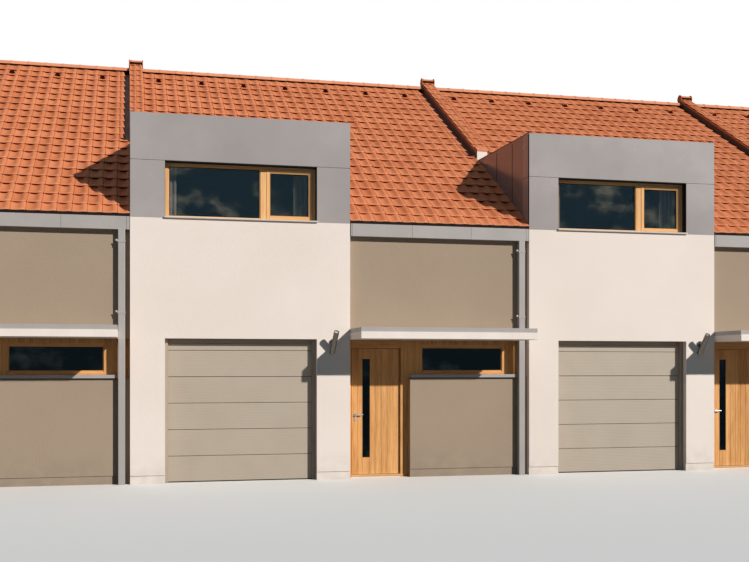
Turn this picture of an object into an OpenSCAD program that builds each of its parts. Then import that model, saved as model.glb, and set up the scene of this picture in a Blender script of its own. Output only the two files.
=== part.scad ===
// A row of four terraced houses. Each house has a white rendered bay with a garage below and a
// flat-roofed box dormer above, and beside it a shallow recess with the entrance door, a timber
// band window over a low wall, a thin canopy, a box gutter and a square downpipe. A pantiled
// gable roof covers each house, and a party wall with a tiled coping rises between neighbours.
// X runs along the row, Y into the houses from the front, Z up. Sizes are in millimetres.

/* [Row] */
// Width of one house, from party wall to party wall
house_w = 6470; // [6100:10:7400]
// Depth of the houses between the front and the rear wall faces
house_d = 13100; // [11000:100:14500]
// Thickness of a party wall
party_t = 250; // [200:10:300]
// Thickness of the outer walls
wall_t = 300; // [250:10:330]
// Height of the ground floor above the paving
floor_h = 40; // [20:5:60]
// Height of the upper floor
upper_floor_h = 2950; // [2800:10:3100]
// Thickness of the upper floor
upper_floor_t = 250; // [200:10:300]

/* [Bay] */
// Width of the white bay
bay_w = 3425; // [3300:5:3500]
// Left edge of the garage and window openings in the bay
opening_x = 522; // [450:2:600]
// Width of the garage and window openings
opening_w = 2365; // [2200:5:2400]
// Height of the garage opening
garage_h = 2235; // [2100:5:2400]
// Height where the white render ends and the grey panels start
render_h = 4085; // [4000:5:4150]
// Height of the dormer window's head
head_h = 4970; // [4800:5:5100]
// Height of the dormer's top at its front
dormer_h = 5690; // [5500:5:5900]
// Fall of the dormer's roof towards its front, in degrees
dormer_fall = 0.8; // [0.5:0.1:1.5]
// Thickness of the dormer's flat roof
dormer_roof_t = 180; // [150:10:260]
// Thickness of the dormer's right cheek
cheek_t = 150; // [100:10:200]
// Length of a cladding panel on the dormer's cheeks
panel_w = 790; // [700:10:900]
// Width of the open joints between the dormer's panels
panel_joint = 8; // [5:1:12]
// Depth of the joints between the dormer's panels
joint_depth = 8; // [5:1:15]
// Depth of the dormer's flat roof below the tops of the panels round it
roof_drop = 20; // [10:1:30]
// Width of the metal capping on the dormer's cheeks
capping_w = 60; // [40:5:90]
// Height of the capping
capping_h = 20; // [12:1:25]
// Distance of the capping's end behind the dormer's front
capping_in = 30; // [15:5:60]
// Height of the plinth
plinth_h = 130; // [80:5:200]
// Distance that the plinth stands back behind the render
plinth_in = 12; // [5:1:25]
// Height of the apron under the rear ground-floor windows
rear_apron_h = 900; // [700:10:1100]

/* [Recess] */
// Depth of the recess behind the bay front
recess_in = 106; // [80:2:125]
// Underside of the wall over the entrance
lintel_h = 2228; // [2180:2:2300]
// Height of the low wall
low_wall_h = 1610; // [1400:5:1700]
// Width of the entrance, from the bay to the low wall
entrance_w = 1023; // [1000:1:1100]
// Face of the timber screen behind the bay front
screen_in = 230; // [210:5:240]
// Thickness of the timber screen
screen_t = 70; // [60:5:90]
// Left edge of the band window, from the low wall's end
band_x = 190; // [120:5:260]
// Distance of the band window from the next house's bay
band_end = 349; // [300:1:420]
// Height of the band window's opening
band_h = 475; // [400:5:500]
// Height of the timber below the band window
band_base = 42; // [30:2:60]
// Width of the band window's frame
band_frame = 50; // [35:1:60]
// Distance of the band window's frame behind the timber's face
band_in = 4; // [0:1:10]

/* [Entrance door] */
// Width of the door leaf
leaf_w = 795; // [770:1:800]
// Height of the door leaf
leaf_h = 2045; // [1980:1:2060]
// Thickness of the door leaf
leaf_t = 60; // [44:2:68]
// Distance of the leaf behind the frame's face
leaf_in = 25; // [10:1:30]
// Width of the left jamb
jamb_w = 65; // [50:1:80]
// Gap at the lock side of the leaf
lock_gap = 11; // [10:1:16]
// Gap at the hinge side, the head and the sill
door_gap = 6; // [5:1:10]
// Height of the door sill
sill_h = 44; // [40:1:60]
// Width of the tall glass strip in the leaf
strip_w = 104; // [80:1:140]
// Height of the glass strip
strip_h = 1580; // [1300:5:1650]
// Distance of the strip's left edge from the leaf's lock edge
strip_x = 190; // [150:1:240]
// Height of the strip's lower edge
strip_z = 333; // [260:1:400]
// Thickness of the glass
glass_t = 24; // [16:2:32]
// Distance of the glass strip behind the leaf's face
strip_in = 6; // [4:1:12]
// Height of the lever handle
lever_h = 1023; // [950:1:1100]
// Length of the lever
lever_len = 115; // [90:1:130]
// Distance from the leaf's lock edge to the lever's spindle
backset = 67; // [55:1:80]
// Diameter of the lever
lever_d = 20; // [16:1:24]
// Distance of the lever's axis from the leaf's face
lever_out = 48; // [40:1:55]
// Diameter of the rose and of the lock's escutcheon
rose_d = 52; // [44:1:60]
// Thickness of the rose and of the plate under it
rose_t = 9; // [6:1:12]
// Distance from the lever down to the lock
lock_drop = 75; // [65:1:92]
// Diameter of a hinge barrel
hinge_d = 18; // [14:1:20]
// Height of one half of a hinge barrel
hinge_h = 50; // [40:1:60]
// Width of a hinge plate
hinge_plate = 42; // [30:1:50]
// Distance of the upper and lower hinge from the leaf's ends
hinge_in = 200; // [150:10:300]
// Distance of the hinge's axis from the leaf's inner face
hinge_out = 12; // [11:1:14]

/* [Windows] */
// Width of a window's outer frame
frame_w = 70; // [55:1:85]
// Depth of a window's frame
frame_t = 75; // [60:1:90]
// Distance of a window's frame behind the wall's face
frame_in = 125; // [90:5:150]
// Distance from the opening's left edge to the mullion
mullion_x = 1465; // [1350:5:1550]
// Width of the mullion
mullion_w = 84; // [70:1:100]
// Width of the opening sash's own frame
sash_w = 62; // [50:1:75]
// Distance that the sash stands proud of the frame
sash_out = 12; // [6:1:20]
// Depth of the sash
sash_t = 77; // [64:1:84]
// Distance of a window's glass behind the face of its frame or sash
pane_in = 30; // [22:1:38]
// Thickness of a window sill
window_sill_t = 32; // [25:1:45]
// Distance that a sill projects in front of its wall
sill_out = 35; // [20:1:50]
// Distance that a sill's nose runs on past its opening
sill_over = 12; // [6:1:20]
// Fall of a sill's top towards its nose
sill_fall = 8; // [4:1:12]
// Width of the glazing beads
bead_w = 13; // [10:1:18]
// Distance of the glazing beads behind the face of their frame or sash
bead_in = 10; // [6:1:14]

/* [Garage door] */
// Distance of the garage frame behind the bay front
garage_in = 118; // [90:2:140]
// Width of the garage frame's posts
garage_post = 50; // [40:1:70]
// Height of the garage frame's head
garage_head = 112; // [90:2:140]
// Depth of the garage frame
garage_frame_t = 90; // [70:2:110]
// Distance of the door sections behind the frame's face
section_in = 30; // [10:2:40]
// Thickness of a door section
section_t = 42; // [30:1:50]
// Number of door sections
section_n = 5; // [4:1:6]
// Open joint between two sections
section_joint = 6; // [4:1:10]
// Radius of the rounded tongue on top of a section
tongue_r = 8; // [5:1:10]
// Clearance round a tongue in the next section's groove
tongue_gap = 3; // [2:0.5:4]
// Bevel along a section's outer edges
section_bevel = 4; // [2:1:6]
// Height of the filler strip over the sections
filler_h = 40; // [30:1:60]

/* [Roof] */
// Pitch of the roof, in degrees
roof_pitch = 31; // [28:0.5:33]
// Height of the roof deck's top at the wall face
deck_z = 4105; // [4100:1:4160]
// Thickness of the roof, measured upright
roof_t = 250; // [200:10:300]
// Thickness of the eaves' lip over the gutter
lip_t = 9; // [6:1:12]
// Distance up the slope from one tile course to the next
tile_gauge = 367.5; // [330:0.5:400]
// Length of the eaves course that shows, up the slope
eaves_course = 270; // [200:5:320]
// Height of a course's nose above the deck, at the middle of the tiles' relief
tile_rise = 52; // [46:1:60]
// Width of the open side gutter between the tiles and the next party wall
side_gutter_w = 95; // [60:5:120]
// Thickness of a tile's nose, by which each course steps over the one below it
tile_t = 16; // [12:1:20]
// Height of the eaves course's nose above the deck
eaves_rise = 36; // [30:1:42]
// Height of the party wall's upstand above the deck
upstand_h = 185; // [150:5:220]
// Length of the white end of an upstand over the dormer
upstand_end = 140; // [100:5:180]
// Width of the white end of an upstand
upstand_end_w = 210; // [150:5:250]
// Thickness of the tiled coping
coping_t = 50; // [40:1:60]
// Distance that the coping overhangs the party wall
coping_out = 8; // [8:1:20]
// Step of the coping's narrower tiles from course to course
coping_step = 10; // [6:1:14]
// Depth of the coping's side flanges below the upstand's top
flange_h = 62; // [45:1:75]
// Thickness of the coping's side flanges
flange_t = 5; // [5:1:7]
// Outer radius of the ridge tiles
ridge_r = 112; // [100:1:125]
// Thickness of the ridge tiles
ridge_t = 16; // [12:1:22]
// Height of the ridge tiles' edges above the last tile courses
ridge_gap = 35; // [20:1:40]
// Width of the batten that carries the ridge tiles
batten_w = 50; // [40:2:60]
// Number of ridge tiles on a house
ridge_n = 18; // [15:1:20]
// Width of the collar with which a ridge tile laps the next
collar_w = 55; // [40:1:70]
// Height of the collars above the ridge tiles
collar_h = 6; // [4:1:8]
// Outer radius of the short ridge tile on a coping
cap_r = 84; // [70:1:95]
// Radius of the round end disc on a coping's ridge tile
disc_r = 98; // [90:1:110]
// Thickness of the end disc
disc_t = 16; // [10:1:24]

/* [Gutter and downpipe] */
// Height of the box gutter
gutter_h = 200; // [160:5:210]
// Wall thickness of the box gutter
gutter_wall = 8; // [4:1:12]
// Width of the gutter's folded front lip
gutter_lip = 22; // [16:1:30]
// Length of a gutter section, from the bay on
gutter_l = 1003; // [900:1:1010]
// Joint between two gutter sections
gutter_joint = 2; // [1:1:4]
// Gap between the gutter and the tiles over it
gutter_gap = 15; // [10:1:20]
// Width of the square downpipe
pipe_w = 107; // [80:1:120]
// Radius of the downpipe's rounded corners
pipe_r = 10; // [6:1:14]
// Distance between the downpipe and the next bay
pipe_x = 72; // [60:1:90]
// Distance between the downpipe and the recess wall
pipe_gap = 14; // [10:1:20]
// Height of a pipe bracket
bracket_h = 36; // [25:1:50]
// Thickness of a pipe bracket's strap
bracket_t = 5; // [3:1:6]
// Distance of the brackets from the canopy and from the gutter
bracket_in = 200; // [100:10:400]

/* [Canopy] */
// Distance that the canopy projects in front of the bay
canopy_out = 825; // [700:5:950]
// Thickness of the white slab
canopy_t = 108; // [90:1:130]
// Width and depth of the drip groove under the slab
drip = 12; // [8:1:16]
// Distance of the drip groove from the slab's front edge
drip_in = 30; // [20:1:50]
// Height of the metal trim on the slab
trim_h = 69; // [50:1:80]
// Distance that the trim stands back behind the slab's edge
trim_in = 14; // [8:1:25]

/* [Wall lamp] */
// Distance of the lamp from the bay's right edge
lamp_x = 280; // [220:5:340]
// Height of the lamp's middle
lamp_z = 2205; // [2100:5:2300]
// Diameter of the lamp tube
lamp_d = 84; // [70:1:100]
// Length of the lamp tube
lamp_len = 330; // [280:5:360]
// Wall thickness of the lamp tube at its open ends
lamp_wall = 4; // [3:1:6]
// Distance of the lenses inside the tube's ends
lens_in = 22; // [15:1:40]
// Lean of the lamp tube away from the wall, in degrees
lamp_lean = 24; // [15:1:30]
// Distance of the lamp tube's middle from the wall
lamp_out = 150; // [130:5:180]
// Diameter of the lamp's arm
lamp_arm_d = 40; // [30:1:50]
// Diameter of the lamp's wall plate
lamp_plate_d = 110; // [90:1:130]
// Thickness of the lamp's wall plate
lamp_plate_t = 22; // [15:1:30]

/* [Hidden] */

houses = 4;
row_l = houses * house_w + party_t;
front_y = -canopy_out;
rear_y = house_d + sill_out;
mid_y = (front_y + rear_y) / 2;

white_c = [0.93, 0.88, 0.84];
taupe_c = [0.62, 0.55, 0.47];
panel_c = [0.62, 0.60, 0.59];
timber_c = [0.80, 0.56, 0.30];
tile_c = [0.84, 0.46, 0.30];
metal_c = [0.64, 0.63, 0.62];
dark_c = [0.27, 0.25, 0.25];
glass_c = [0.16, 0.22, 0.26];
door_c = [0.66, 0.60, 0.52];

// Roof lines: height of the deck and of the dormer's top at a depth y, and the depth at which the
// dormer's top, lifted a little, meets the deck
slope = tan(roof_pitch);
ridge_y = house_d / 2;
function deck(y) = deck_z + slope * y;
function dormer_top(y) = dormer_h + tan(dormer_fall) * (y - wall_t);
function dormer_end(lift) = (dormer_top(0) + lift - deck_z) / (slope - tan(dormer_fall));
dormer_back = dormer_end(0);
dormer_back_z = deck(dormer_back);
ridge_l = ridge_y / cos(roof_pitch);
ridge_z = deck(ridge_y);
// A point at a distance up the slope and a height square to the deck, and each tile course's nose
function on_slope(l, h) = [l * cos(roof_pitch) - h * sin(roof_pitch),
    deck_z + l * sin(roof_pitch) + h * cos(roof_pitch)];
function nose_l(k) = eaves_course + k * tile_gauge;
last_course = floor((ridge_l - eaves_course - ridge_r) / tile_gauge);
// The stepped top of tile courses, from the last course down to the eaves: each nose stands at a
// rise, and the course falls by a step under the next nose. The last course runs on to the ridge.
function course_slope(step) = tan(roof_pitch - atan(step / tile_gauge));
function course_apex(rise, step) = on_slope(nose_l(last_course), rise)[1]
    + course_slope(step) * (ridge_y - on_slope(nose_l(last_course), rise)[0]);
function course_points(rise, step, lift) = [for (p = concat([[ridge_y, course_apex(rise, step)]],
    [for (k = [last_course : -1 : 0]) each [on_slope(nose_l(k), rise), on_slope(nose_l(k), rise - step)]]))
    p + [0, lift]];
upstand_y = dormer_back + upstand_end;
// Gap under what is bedded on a slope, and between the two halves of a hinge barrel
bed = 0.2;
barrel_gap = 0.3;
// Overrun of a cutting block past the faces that it cuts
over = 1;
// Depth to which a hinge plate runs into its barrel
plate_bite = 3;
low_wall_x = bay_w + entrance_w;
band_x0 = low_wall_x + band_x;
band_x1 = house_w - band_end;
band_z0 = low_wall_h + window_sill_t + band_base;
leaf_x = bay_w + jamb_w + lock_gap;
leaf_z = sill_h + door_gap;
leaf_y = screen_in + leaf_in;
frame_back = leaf_y + leaf_t;
hinge_x = leaf_x + leaf_w + door_gap / 2;
hinge_y = frame_back + hinge_out;
hinge_plate_t = hinge_out - hinge_d / 2 + plate_bite;
hinge_levels = [leaf_z + hinge_in, leaf_z + leaf_h / 2 - hinge_h, leaf_z + leaf_h - hinge_in - 2 * hinge_h];
frame_head_z = leaf_z + leaf_h + door_gap;
gutter_top = deck_z - gutter_gap;
pipe_d = recess_in - pipe_gap;
pipe_x0 = house_w - pipe_x - pipe_w;

// Frame of the whole row: the origin lies under the middle of its bounding box
module seat() translate([-row_l / 2, -mid_y, 0]) children();

module each_house() for (i = [0 : houses - 1]) translate([i * house_w, 0, 0]) children();

module each_party_wall() for (i = [0 : houses]) translate([i * house_w, 0, 0]) children();

module both_sides() {
    children();
    translate([0, house_d, 0]) mirror([0, 1, 0]) children();
}

module block(x0, x1, y0, y1, z0, z1) translate([x0, y0, z0]) cube([x1 - x0, y1 - y0, z1 - z0]);

// A profile drawn in depth and height, run along the row from x0 to x1
module along_row(x0, x1) translate([x0, 0, 0]) rotate([90, 0, 90]) linear_extrude(x1 - x0) children();

// A rectangular ring seen from the front, with members of width w
module ring(x0, x1, y0, y1, z0, z1, w) difference() {
    block(x0, x1, y0, y1, z0, z1);
    block(x0 + w, x1 - w, y0 - over, y1 + over, z0 + w, z1 - w);
}

// Glazing beads round a light, between the face of its frame at a depth y and its pane
module beads(x0, x1, y, z0, z1) ring(x0 - over, x1 + over, y + bead_in, y + pane_in, z0 - over, z1 + over,
    bead_w + over);

// A floor fills one house between its walls and follows the step of the recess.
module floor_plate(z0, z1) translate([0, 0, z0]) linear_extrude(z1 - z0)
    polygon([[party_t, wall_t], [bay_w, wall_t], [bay_w, recess_in + wall_t], [house_w, recess_in + wall_t],
        [house_w, house_d - recess_in - wall_t], [bay_w, house_d - recess_in - wall_t],
        [bay_w, house_d - wall_t], [party_t, house_d - wall_t]]);

module ground_floors() color(metal_c) seat() each_house() floor_plate(0, floor_h);

module upper_floors() color(metal_c) seat() each_house()
    floor_plate(upper_floor_h - upper_floor_t, upper_floor_h);

// The white end of a party wall's upstand shows over the dormer's flat roof, as high as the coping.
upstand_end_h = upstand_h + coping_t;
module upstand_face() polygon([[dormer_back, dormer_back_z - over], [upstand_y, deck(upstand_y) - over],
    [upstand_y, deck(upstand_y) + upstand_end_h], [dormer_back, dormer_back_z + upstand_end_h]]);

// A party wall stands between the bay fronts, and its top follows the deck.
module party_wall() {
    along_row(0, party_t) polygon([[wall_t, 0], [house_d - wall_t, 0], [house_d - wall_t, deck(wall_t)],
        [ridge_y, ridge_z], [wall_t, deck(wall_t)]]);
    both_sides() along_row(0, upstand_end_w) upstand_face();
}

// The last wall closes the row. It has no bay, so it reaches the front and the rear face itself.
module end_wall() along_row(0, party_t)
    polygon([[0, 0], [house_d, 0], [house_d, deck_z], [ridge_y, ridge_z], [0, deck_z]]);

module party_walls() color(white_c) seat() {
    each_house() party_wall();
    translate([houses * house_w, 0, 0]) end_wall();
}

module pier(x0, x1, z1) {
    block(x0, x1, 0, wall_t, plinth_h, z1);
    block(x0, x1, plinth_in, wall_t, 0, plinth_h);
}

module bay_piers() color(white_c) seat() each_house() both_sides() {
    pier(0, opening_x, garage_h);
    pier(opening_x + opening_w, bay_w, garage_h);
}

module bay_upper_walls() color(white_c) seat() each_house() both_sides()
    block(0, bay_w, 0, wall_t, garage_h, render_h);

module rear_apron_walls() color(white_c) seat() each_house() translate([0, house_d, 0])
    mirror([0, 1, 0]) pier(opening_x, opening_x + opening_w, rear_apron_h);

module recess_upper_walls() color(taupe_c) seat() each_house() both_sides() along_row(bay_w, house_w)
    polygon([[recess_in, lintel_h], [recess_in + wall_t, lintel_h],
        [recess_in + wall_t, deck(recess_in + wall_t) - roof_t - bed],
        [recess_in, deck(recess_in) - roof_t - bed]]);

module low_wall(x0) {
    block(x0, house_w, recess_in, recess_in + wall_t, plinth_h, low_wall_h);
    block(x0, house_w, recess_in + plinth_in, recess_in + wall_t, 0, plinth_h);
}

module low_walls() color(taupe_c) seat() each_house() {
    low_wall(low_wall_x);
    translate([0, house_d, 0]) mirror([0, 1, 0]) low_wall(bay_w);
}

module low_wall_sill(x0) along_row(x0, pipe_x0 - sill_over) polygon([[recess_in - sill_out, low_wall_h],
    [screen_in, low_wall_h], [screen_in, low_wall_h + window_sill_t],
    [recess_in - sill_out, low_wall_h + window_sill_t - sill_fall]]);

module low_wall_sills() color(metal_c) seat() each_house() {
    low_wall_sill(low_wall_x - sill_over);
    translate([0, house_d, 0]) mirror([0, 1, 0]) low_wall_sill(bay_w);
}

// The timber screen fills the recess from the low wall up to the wall over the entrance.
module timber_screen(x0) difference() {
    block(x0, house_w, screen_in, screen_in + screen_t, low_wall_h, lintel_h);
    block(band_x0, band_x1, screen_in - over, screen_in + screen_t + over, band_z0, band_z0 + band_h);
}

module timber_screens() color(timber_c) seat() each_house() {
    timber_screen(low_wall_x);
    translate([0, house_d, 0]) mirror([0, 1, 0]) timber_screen(bay_w);
}

module band_window_frames() color(timber_c) seat() each_house() both_sides() {
    ring(band_x0, band_x1, screen_in + band_in, screen_in + screen_t - band_in, band_z0, band_z0 + band_h,
        band_frame);
    beads(band_x0 + band_frame, band_x1 - band_frame, screen_in + band_in, band_z0 + band_frame,
        band_z0 + band_h - band_frame);
}

// Each entrance frame is two jambs and a head in one piece.
module door_frames() color(timber_c) seat() each_house() difference() {
    block(bay_w, low_wall_x, screen_in, frame_back, 0, lintel_h);
    block(leaf_x - lock_gap, leaf_x + leaf_w + door_gap, screen_in - over, frame_back + over, -over,
        frame_head_z);
}

module door_sills() color(metal_c) seat() each_house()
    block(leaf_x - lock_gap, leaf_x + leaf_w + door_gap, screen_in, recess_in + wall_t, 0, sill_h);

// An open joint under the head panel runs round the dormer's outer faces.
module dormer_side_panels() color(panel_c) seat() each_house() both_sides() difference() {
    union() {
        block(0, opening_x, 0, wall_t, render_h, head_h);
        block(opening_x + opening_w, bay_w, 0, wall_t, render_h, head_h);
    }
    block(-over, bay_w + over, -over, joint_depth, head_h - panel_joint, head_h + over);
    block(-over, joint_depth, -over, wall_t + over, head_h - panel_joint, head_h + over);
    block(bay_w - joint_depth, bay_w + over, -over, wall_t + over, head_h - panel_joint, head_h + over);
}

module dormer_head_panels() color(panel_c) seat() each_house() both_sides()
    block(0, bay_w, 0, wall_t, head_h, dormer_h);

// A cheek fills the triangle between the deck and the dormer's top.
cheek_end = dormer_end(-bed);
module cheek_profile() polygon([[wall_t, deck(wall_t) + bed], [cheek_end, deck(cheek_end) + bed],
    [wall_t, dormer_h]]);

module cheek(x0, x1, face) difference() {
    along_row(x0, x1) cheek_profile();
    for (y = [panel_w : panel_w : dormer_back])
        block(face - joint_depth, face + joint_depth, y, y + panel_joint, deck_z, dormer_back_z);
}

module dormer_cheeks() color(panel_c) seat() each_house() both_sides() {
    cheek(0, party_t, 0);
    cheek(bay_w - cheek_t, bay_w, bay_w);
}

// The dormer's flat roof falls to the front, a little below the tops of the cheeks, which a metal
// capping covers up to the tiles.
module flat_roof() translate([0, -roof_drop]) polygon([[wall_t, dormer_h - dormer_roof_t],
    [dormer_back, dormer_back_z - dormer_roof_t], [dormer_back, dormer_back_z], [wall_t, dormer_h]]);

module capping() translate([0, bed]) polygon([[capping_in, dormer_h], [wall_t, dormer_h],
    [dormer_back, dormer_back_z], [dormer_back, dormer_back_z + capping_h], [wall_t, dormer_h + capping_h],
    [capping_in, dormer_h + capping_h]]);

module dormer_roofs() color(metal_c) seat() each_house() both_sides() {
    along_row(party_t, bay_w - cheek_t) flat_roof();
    along_row(0, capping_w) capping();
    along_row(bay_w - capping_w, bay_w) capping();
}

// An outer frame with a mullion leaves a fixed light on the left and a sash on the right.
module window_frame(z0, z1) {
    difference() {
        block(opening_x, opening_x + opening_w, frame_in, frame_in + frame_t, z0, z1);
        block(opening_x + frame_w, opening_x + mullion_x, frame_in - over, frame_in + frame_t + over,
            z0 + frame_w, z1 - frame_w);
        block(opening_x + mullion_x + mullion_w, opening_x + opening_w - frame_w, frame_in - over,
            frame_in + frame_t + over, z0 + frame_w, z1 - frame_w);
    }
    beads(opening_x + frame_w, opening_x + mullion_x, frame_in, z0 + frame_w, z1 - frame_w);
}

module window_sash(z0, z1) {
    ring(opening_x + mullion_x + mullion_w, opening_x + opening_w - frame_w,
        frame_in - sash_out, frame_in - sash_out + sash_t, z0 + frame_w, z1 - frame_w, sash_w);
    beads(opening_x + mullion_x + mullion_w + sash_w, opening_x + opening_w - frame_w - sash_w,
        frame_in - sash_out, z0 + frame_w + sash_w, z1 - frame_w - sash_w);
}

// A pane stands behind a face at the depth y.
module pane(x0, x1, y, z0, z1) block(x0, x1, y + pane_in, y + pane_in + glass_t, z0, z1);

module window_panes(z0, z1) {
    pane(opening_x + frame_w, opening_x + mullion_x, frame_in, z0 + frame_w, z1 - frame_w);
    pane(opening_x + mullion_x + mullion_w + sash_w, opening_x + opening_w - frame_w - sash_w,
        frame_in - sash_out, z0 + frame_w + sash_w, z1 - frame_w - sash_w);
}

// A sill's top falls from the frame at its back to its nose.
module sill_profile(y0, y1, z) polygon([[y0, z], [y1, z],
    for (y = [y1, y0]) [y, z + window_sill_t - sill_fall * (frame_in - y) / (frame_in + sill_out)]]);

// A sill lies in the opening, and its nose runs on a little past both ends.
module window_sill(z) {
    along_row(opening_x - sill_over, opening_x + opening_w + sill_over) sill_profile(-sill_out, 0, z);
    along_row(opening_x, opening_x + opening_w) sill_profile(-over, frame_in, z);
}

dormer_window_z = render_h + window_sill_t;
rear_window_z = rear_apron_h + window_sill_t;

// Windows of the bays: the dormers' on both sides, and the ground floor's at the rear
module bay_windows() {
    both_sides() children(0);
    translate([0, house_d, 0]) mirror([0, 1, 0]) children(1);
}

module bay_window_frames() color(timber_c) seat() each_house() bay_windows() {
    window_frame(dormer_window_z, head_h);
    window_frame(rear_window_z, garage_h);
}

module window_sashes() color(timber_c) seat() each_house() bay_windows() {
    window_sash(dormer_window_z, head_h);
    window_sash(rear_window_z, garage_h);
}

module band_pane() pane(band_x0 + band_frame, band_x1 - band_frame, screen_in + band_in,
    band_z0 + band_frame, band_z0 + band_h - band_frame);

module window_glass() color(glass_c) seat() each_house() {
    bay_windows() {
        window_panes(dormer_window_z, head_h);
        window_panes(rear_window_z, garage_h);
    }
    both_sides() band_pane();
}

module window_sills() color(white_c) seat() each_house() bay_windows() {
    window_sill(render_h);
    window_sill(rear_apron_h);
}

// One slope of the roof: the deck with a thin lip over the gutter, and on it the tile courses up to
// the side gutter. The dormer is cut out, and under its cheek only the deck stays.
module roof_slope() difference() {
    union() {
        along_row(party_t, house_w) polygon([[0, deck_z - lip_t], [recess_in, deck_z - lip_t],
            [recess_in, deck(recess_in) - roof_t], [ridge_y, ridge_z - roof_t], [ridge_y, ridge_z],
            [0, deck_z]]);
        along_row(party_t, house_w - side_gutter_w) polygon(concat([[0, deck_z - lip_t],
            [ridge_y, ridge_z - lip_t]], course_points(tile_rise, tile_t, 0), [[0, deck_z + eaves_rise]]));
    }
    block(party_t - over, bay_w - cheek_t, -sill_out, dormer_back, 0, ridge_z);
    block(party_t - over, bay_w, -sill_out, wall_t, 0, ridge_z);
    along_row(bay_w - cheek_t - over, bay_w) polygon([[0, deck_z], [dormer_back, dormer_back_z],
        [dormer_back, ridge_z], [0, ridge_z]]);
}

module roof_slopes() color(tile_c) seat() each_house() both_sides() roof_slope();

// A half-round tile about a height z, that straddles two tiled slopes meeting at an apex
module half_round(x0, x1, z, r, t, apex, fall) along_row(x0, x1) translate([ridge_y, z]) difference() {
    circle(r, $fn = 48);
    circle(r - t, $fn = 48);
    translate([0, apex - z + bed])
        polygon([[-2 * r, -4 * r], [2 * r, -4 * r], [2 * r, -2 * r * fall], [0, 0], [-2 * r, -2 * r * fall]]);
}

// The ridge tiles lap each other with a collar, between the flanges of two copings. They are carried
// by a batten that rides on the last courses, and leave an open gap along both edges.
ridge_x0 = party_t + coping_out;
ridge_x1 = house_w - coping_out;
ridge_step = (ridge_x1 - ridge_x0) / ridge_n;
tiles_apex = course_apex(tile_rise, tile_t);
tiles_fall = course_slope(tile_t);
batten_h = ridge_z + ridge_r - ridge_t - tiles_apex;
module ridge_tile(x, width, r) half_round(x, x + width, ridge_z, r, ridge_t, tiles_apex + ridge_gap,
    tiles_fall);

module ridge_tiles() color(tile_c) seat() each_house() {
    ridge_tile(ridge_x0, ridge_x1 - ridge_x0, ridge_r - collar_h);
    for (i = [0 : ridge_n - 1]) ridge_tile(ridge_x0 + i * ridge_step, collar_w, ridge_r);
    along_row(ridge_x0, ridge_x1) translate([ridge_y, tiles_apex + bed])
        polygon([[0, 0], [batten_w / 2, -tiles_fall * batten_w / 2], [batten_w / 2, batten_h],
            [-batten_w / 2, batten_h], [-batten_w / 2, -tiles_fall * batten_w / 2]]);
}

// The upstand carries the coping from the dormer's back over the ridge. On the closing wall both
// run down to the eaves.
module upstand_profile(y0, z0, z1) polygon([[y0, deck(y0) + z0], [ridge_y, ridge_z + z0],
    [house_d - y0, deck(y0) + z0], [house_d - y0, deck(y0) + z1], [ridge_y, ridge_z + z1],
    [y0, deck(y0) + z1]]);

module wall_upstands() color(dark_c) seat() {
    each_house() along_row(0, party_t) upstand_profile(upstand_y + bed, bed, upstand_h);
    translate([houses * house_w, 0, 0]) along_row(0, party_t) upstand_profile(0, bed, upstand_h);
}

// A coping's stepped courses stand on the upstand, and a flange hangs down along both its sides.
coping_rise = coping_t * cos(roof_pitch);
module coping_profile(y0, z0) intersection() {
    polygon(concat([[0, deck_z + z0], [ridge_y, ridge_z + z0]],
        course_points(coping_rise, coping_step, upstand_h), [[0, deck_z + upstand_h + coping_t]]));
    translate([y0, 0]) square([ridge_y, 2 * ridge_z]);
}

module coping(y0) both_sides() {
    along_row(-coping_out, party_t + coping_out) coping_profile(y0, upstand_h + bed);
    along_row(-coping_out, flange_t - coping_out) coping_profile(y0, upstand_h - flange_h);
    along_row(party_t + coping_out - flange_t, party_t + coping_out) coping_profile(y0, upstand_h - flange_h);
}

module wall_copings() color(tile_c) seat() {
    each_house() coping(upstand_y + bed);
    translate([houses * house_w, 0, 0]) coping(0);
}

// A short ridge tile closes each coping at the top, between two round end discs.
coping_apex = ridge_z + upstand_h + coping_t;

module end_disc(x0) along_row(x0, x0 + disc_t) translate([ridge_y, coping_apex]) circle(disc_r, $fn = 48);

module coping_ridge_tiles() color(tile_c) seat() each_party_wall() {
    half_round(-coping_out, party_t + coping_out, coping_apex, cap_r, ridge_t,
        course_apex(coping_rise, coping_step) + upstand_h, course_slope(coping_step));
    end_disc(-coping_out - disc_t);
    end_disc(party_t + coping_out);
}

// A gutter is a folded trough with a lip along its front edge, made in lengths that butt together
// and closed by a plate let into each end.
gutter_foot = gutter_top - gutter_h;
module gutter_profile() polygon([[0, gutter_foot], [recess_in, gutter_foot], [recess_in, gutter_top],
    [recess_in - gutter_wall, gutter_top], [recess_in - gutter_wall, gutter_foot + gutter_wall],
    [gutter_wall, gutter_foot + gutter_wall], [gutter_wall, gutter_top - gutter_wall],
    [gutter_lip, gutter_top - gutter_wall], [gutter_lip, gutter_top], [0, gutter_top]]);

module gutter_end(x0) block(x0, x0 + gutter_wall, gutter_wall - over, recess_in - gutter_wall + over,
    gutter_foot + gutter_wall - over, gutter_top);

module gutters() color(metal_c) seat() each_house() both_sides() {
    for (x = [bay_w : gutter_l : house_w - gutter_wall])
        along_row(x, min(x + gutter_l - gutter_joint, house_w)) gutter_profile();
    gutter_end(bay_w);
    gutter_end(house_w - gutter_wall);
}

module downpipes() color(metal_c) seat() each_house() both_sides() translate([pipe_x0, 0, 0])
    linear_extrude(gutter_foot) {
        translate([pipe_r, 0]) square([pipe_w - 2 * pipe_r, pipe_d]);
        translate([0, pipe_r]) square([pipe_w, pipe_d - 2 * pipe_r]);
        for (x = [pipe_r, pipe_w - pipe_r], y = [pipe_r, pipe_d - pipe_r])
            translate([x, y]) circle(pipe_r, $fn = 32);
    }

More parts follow.
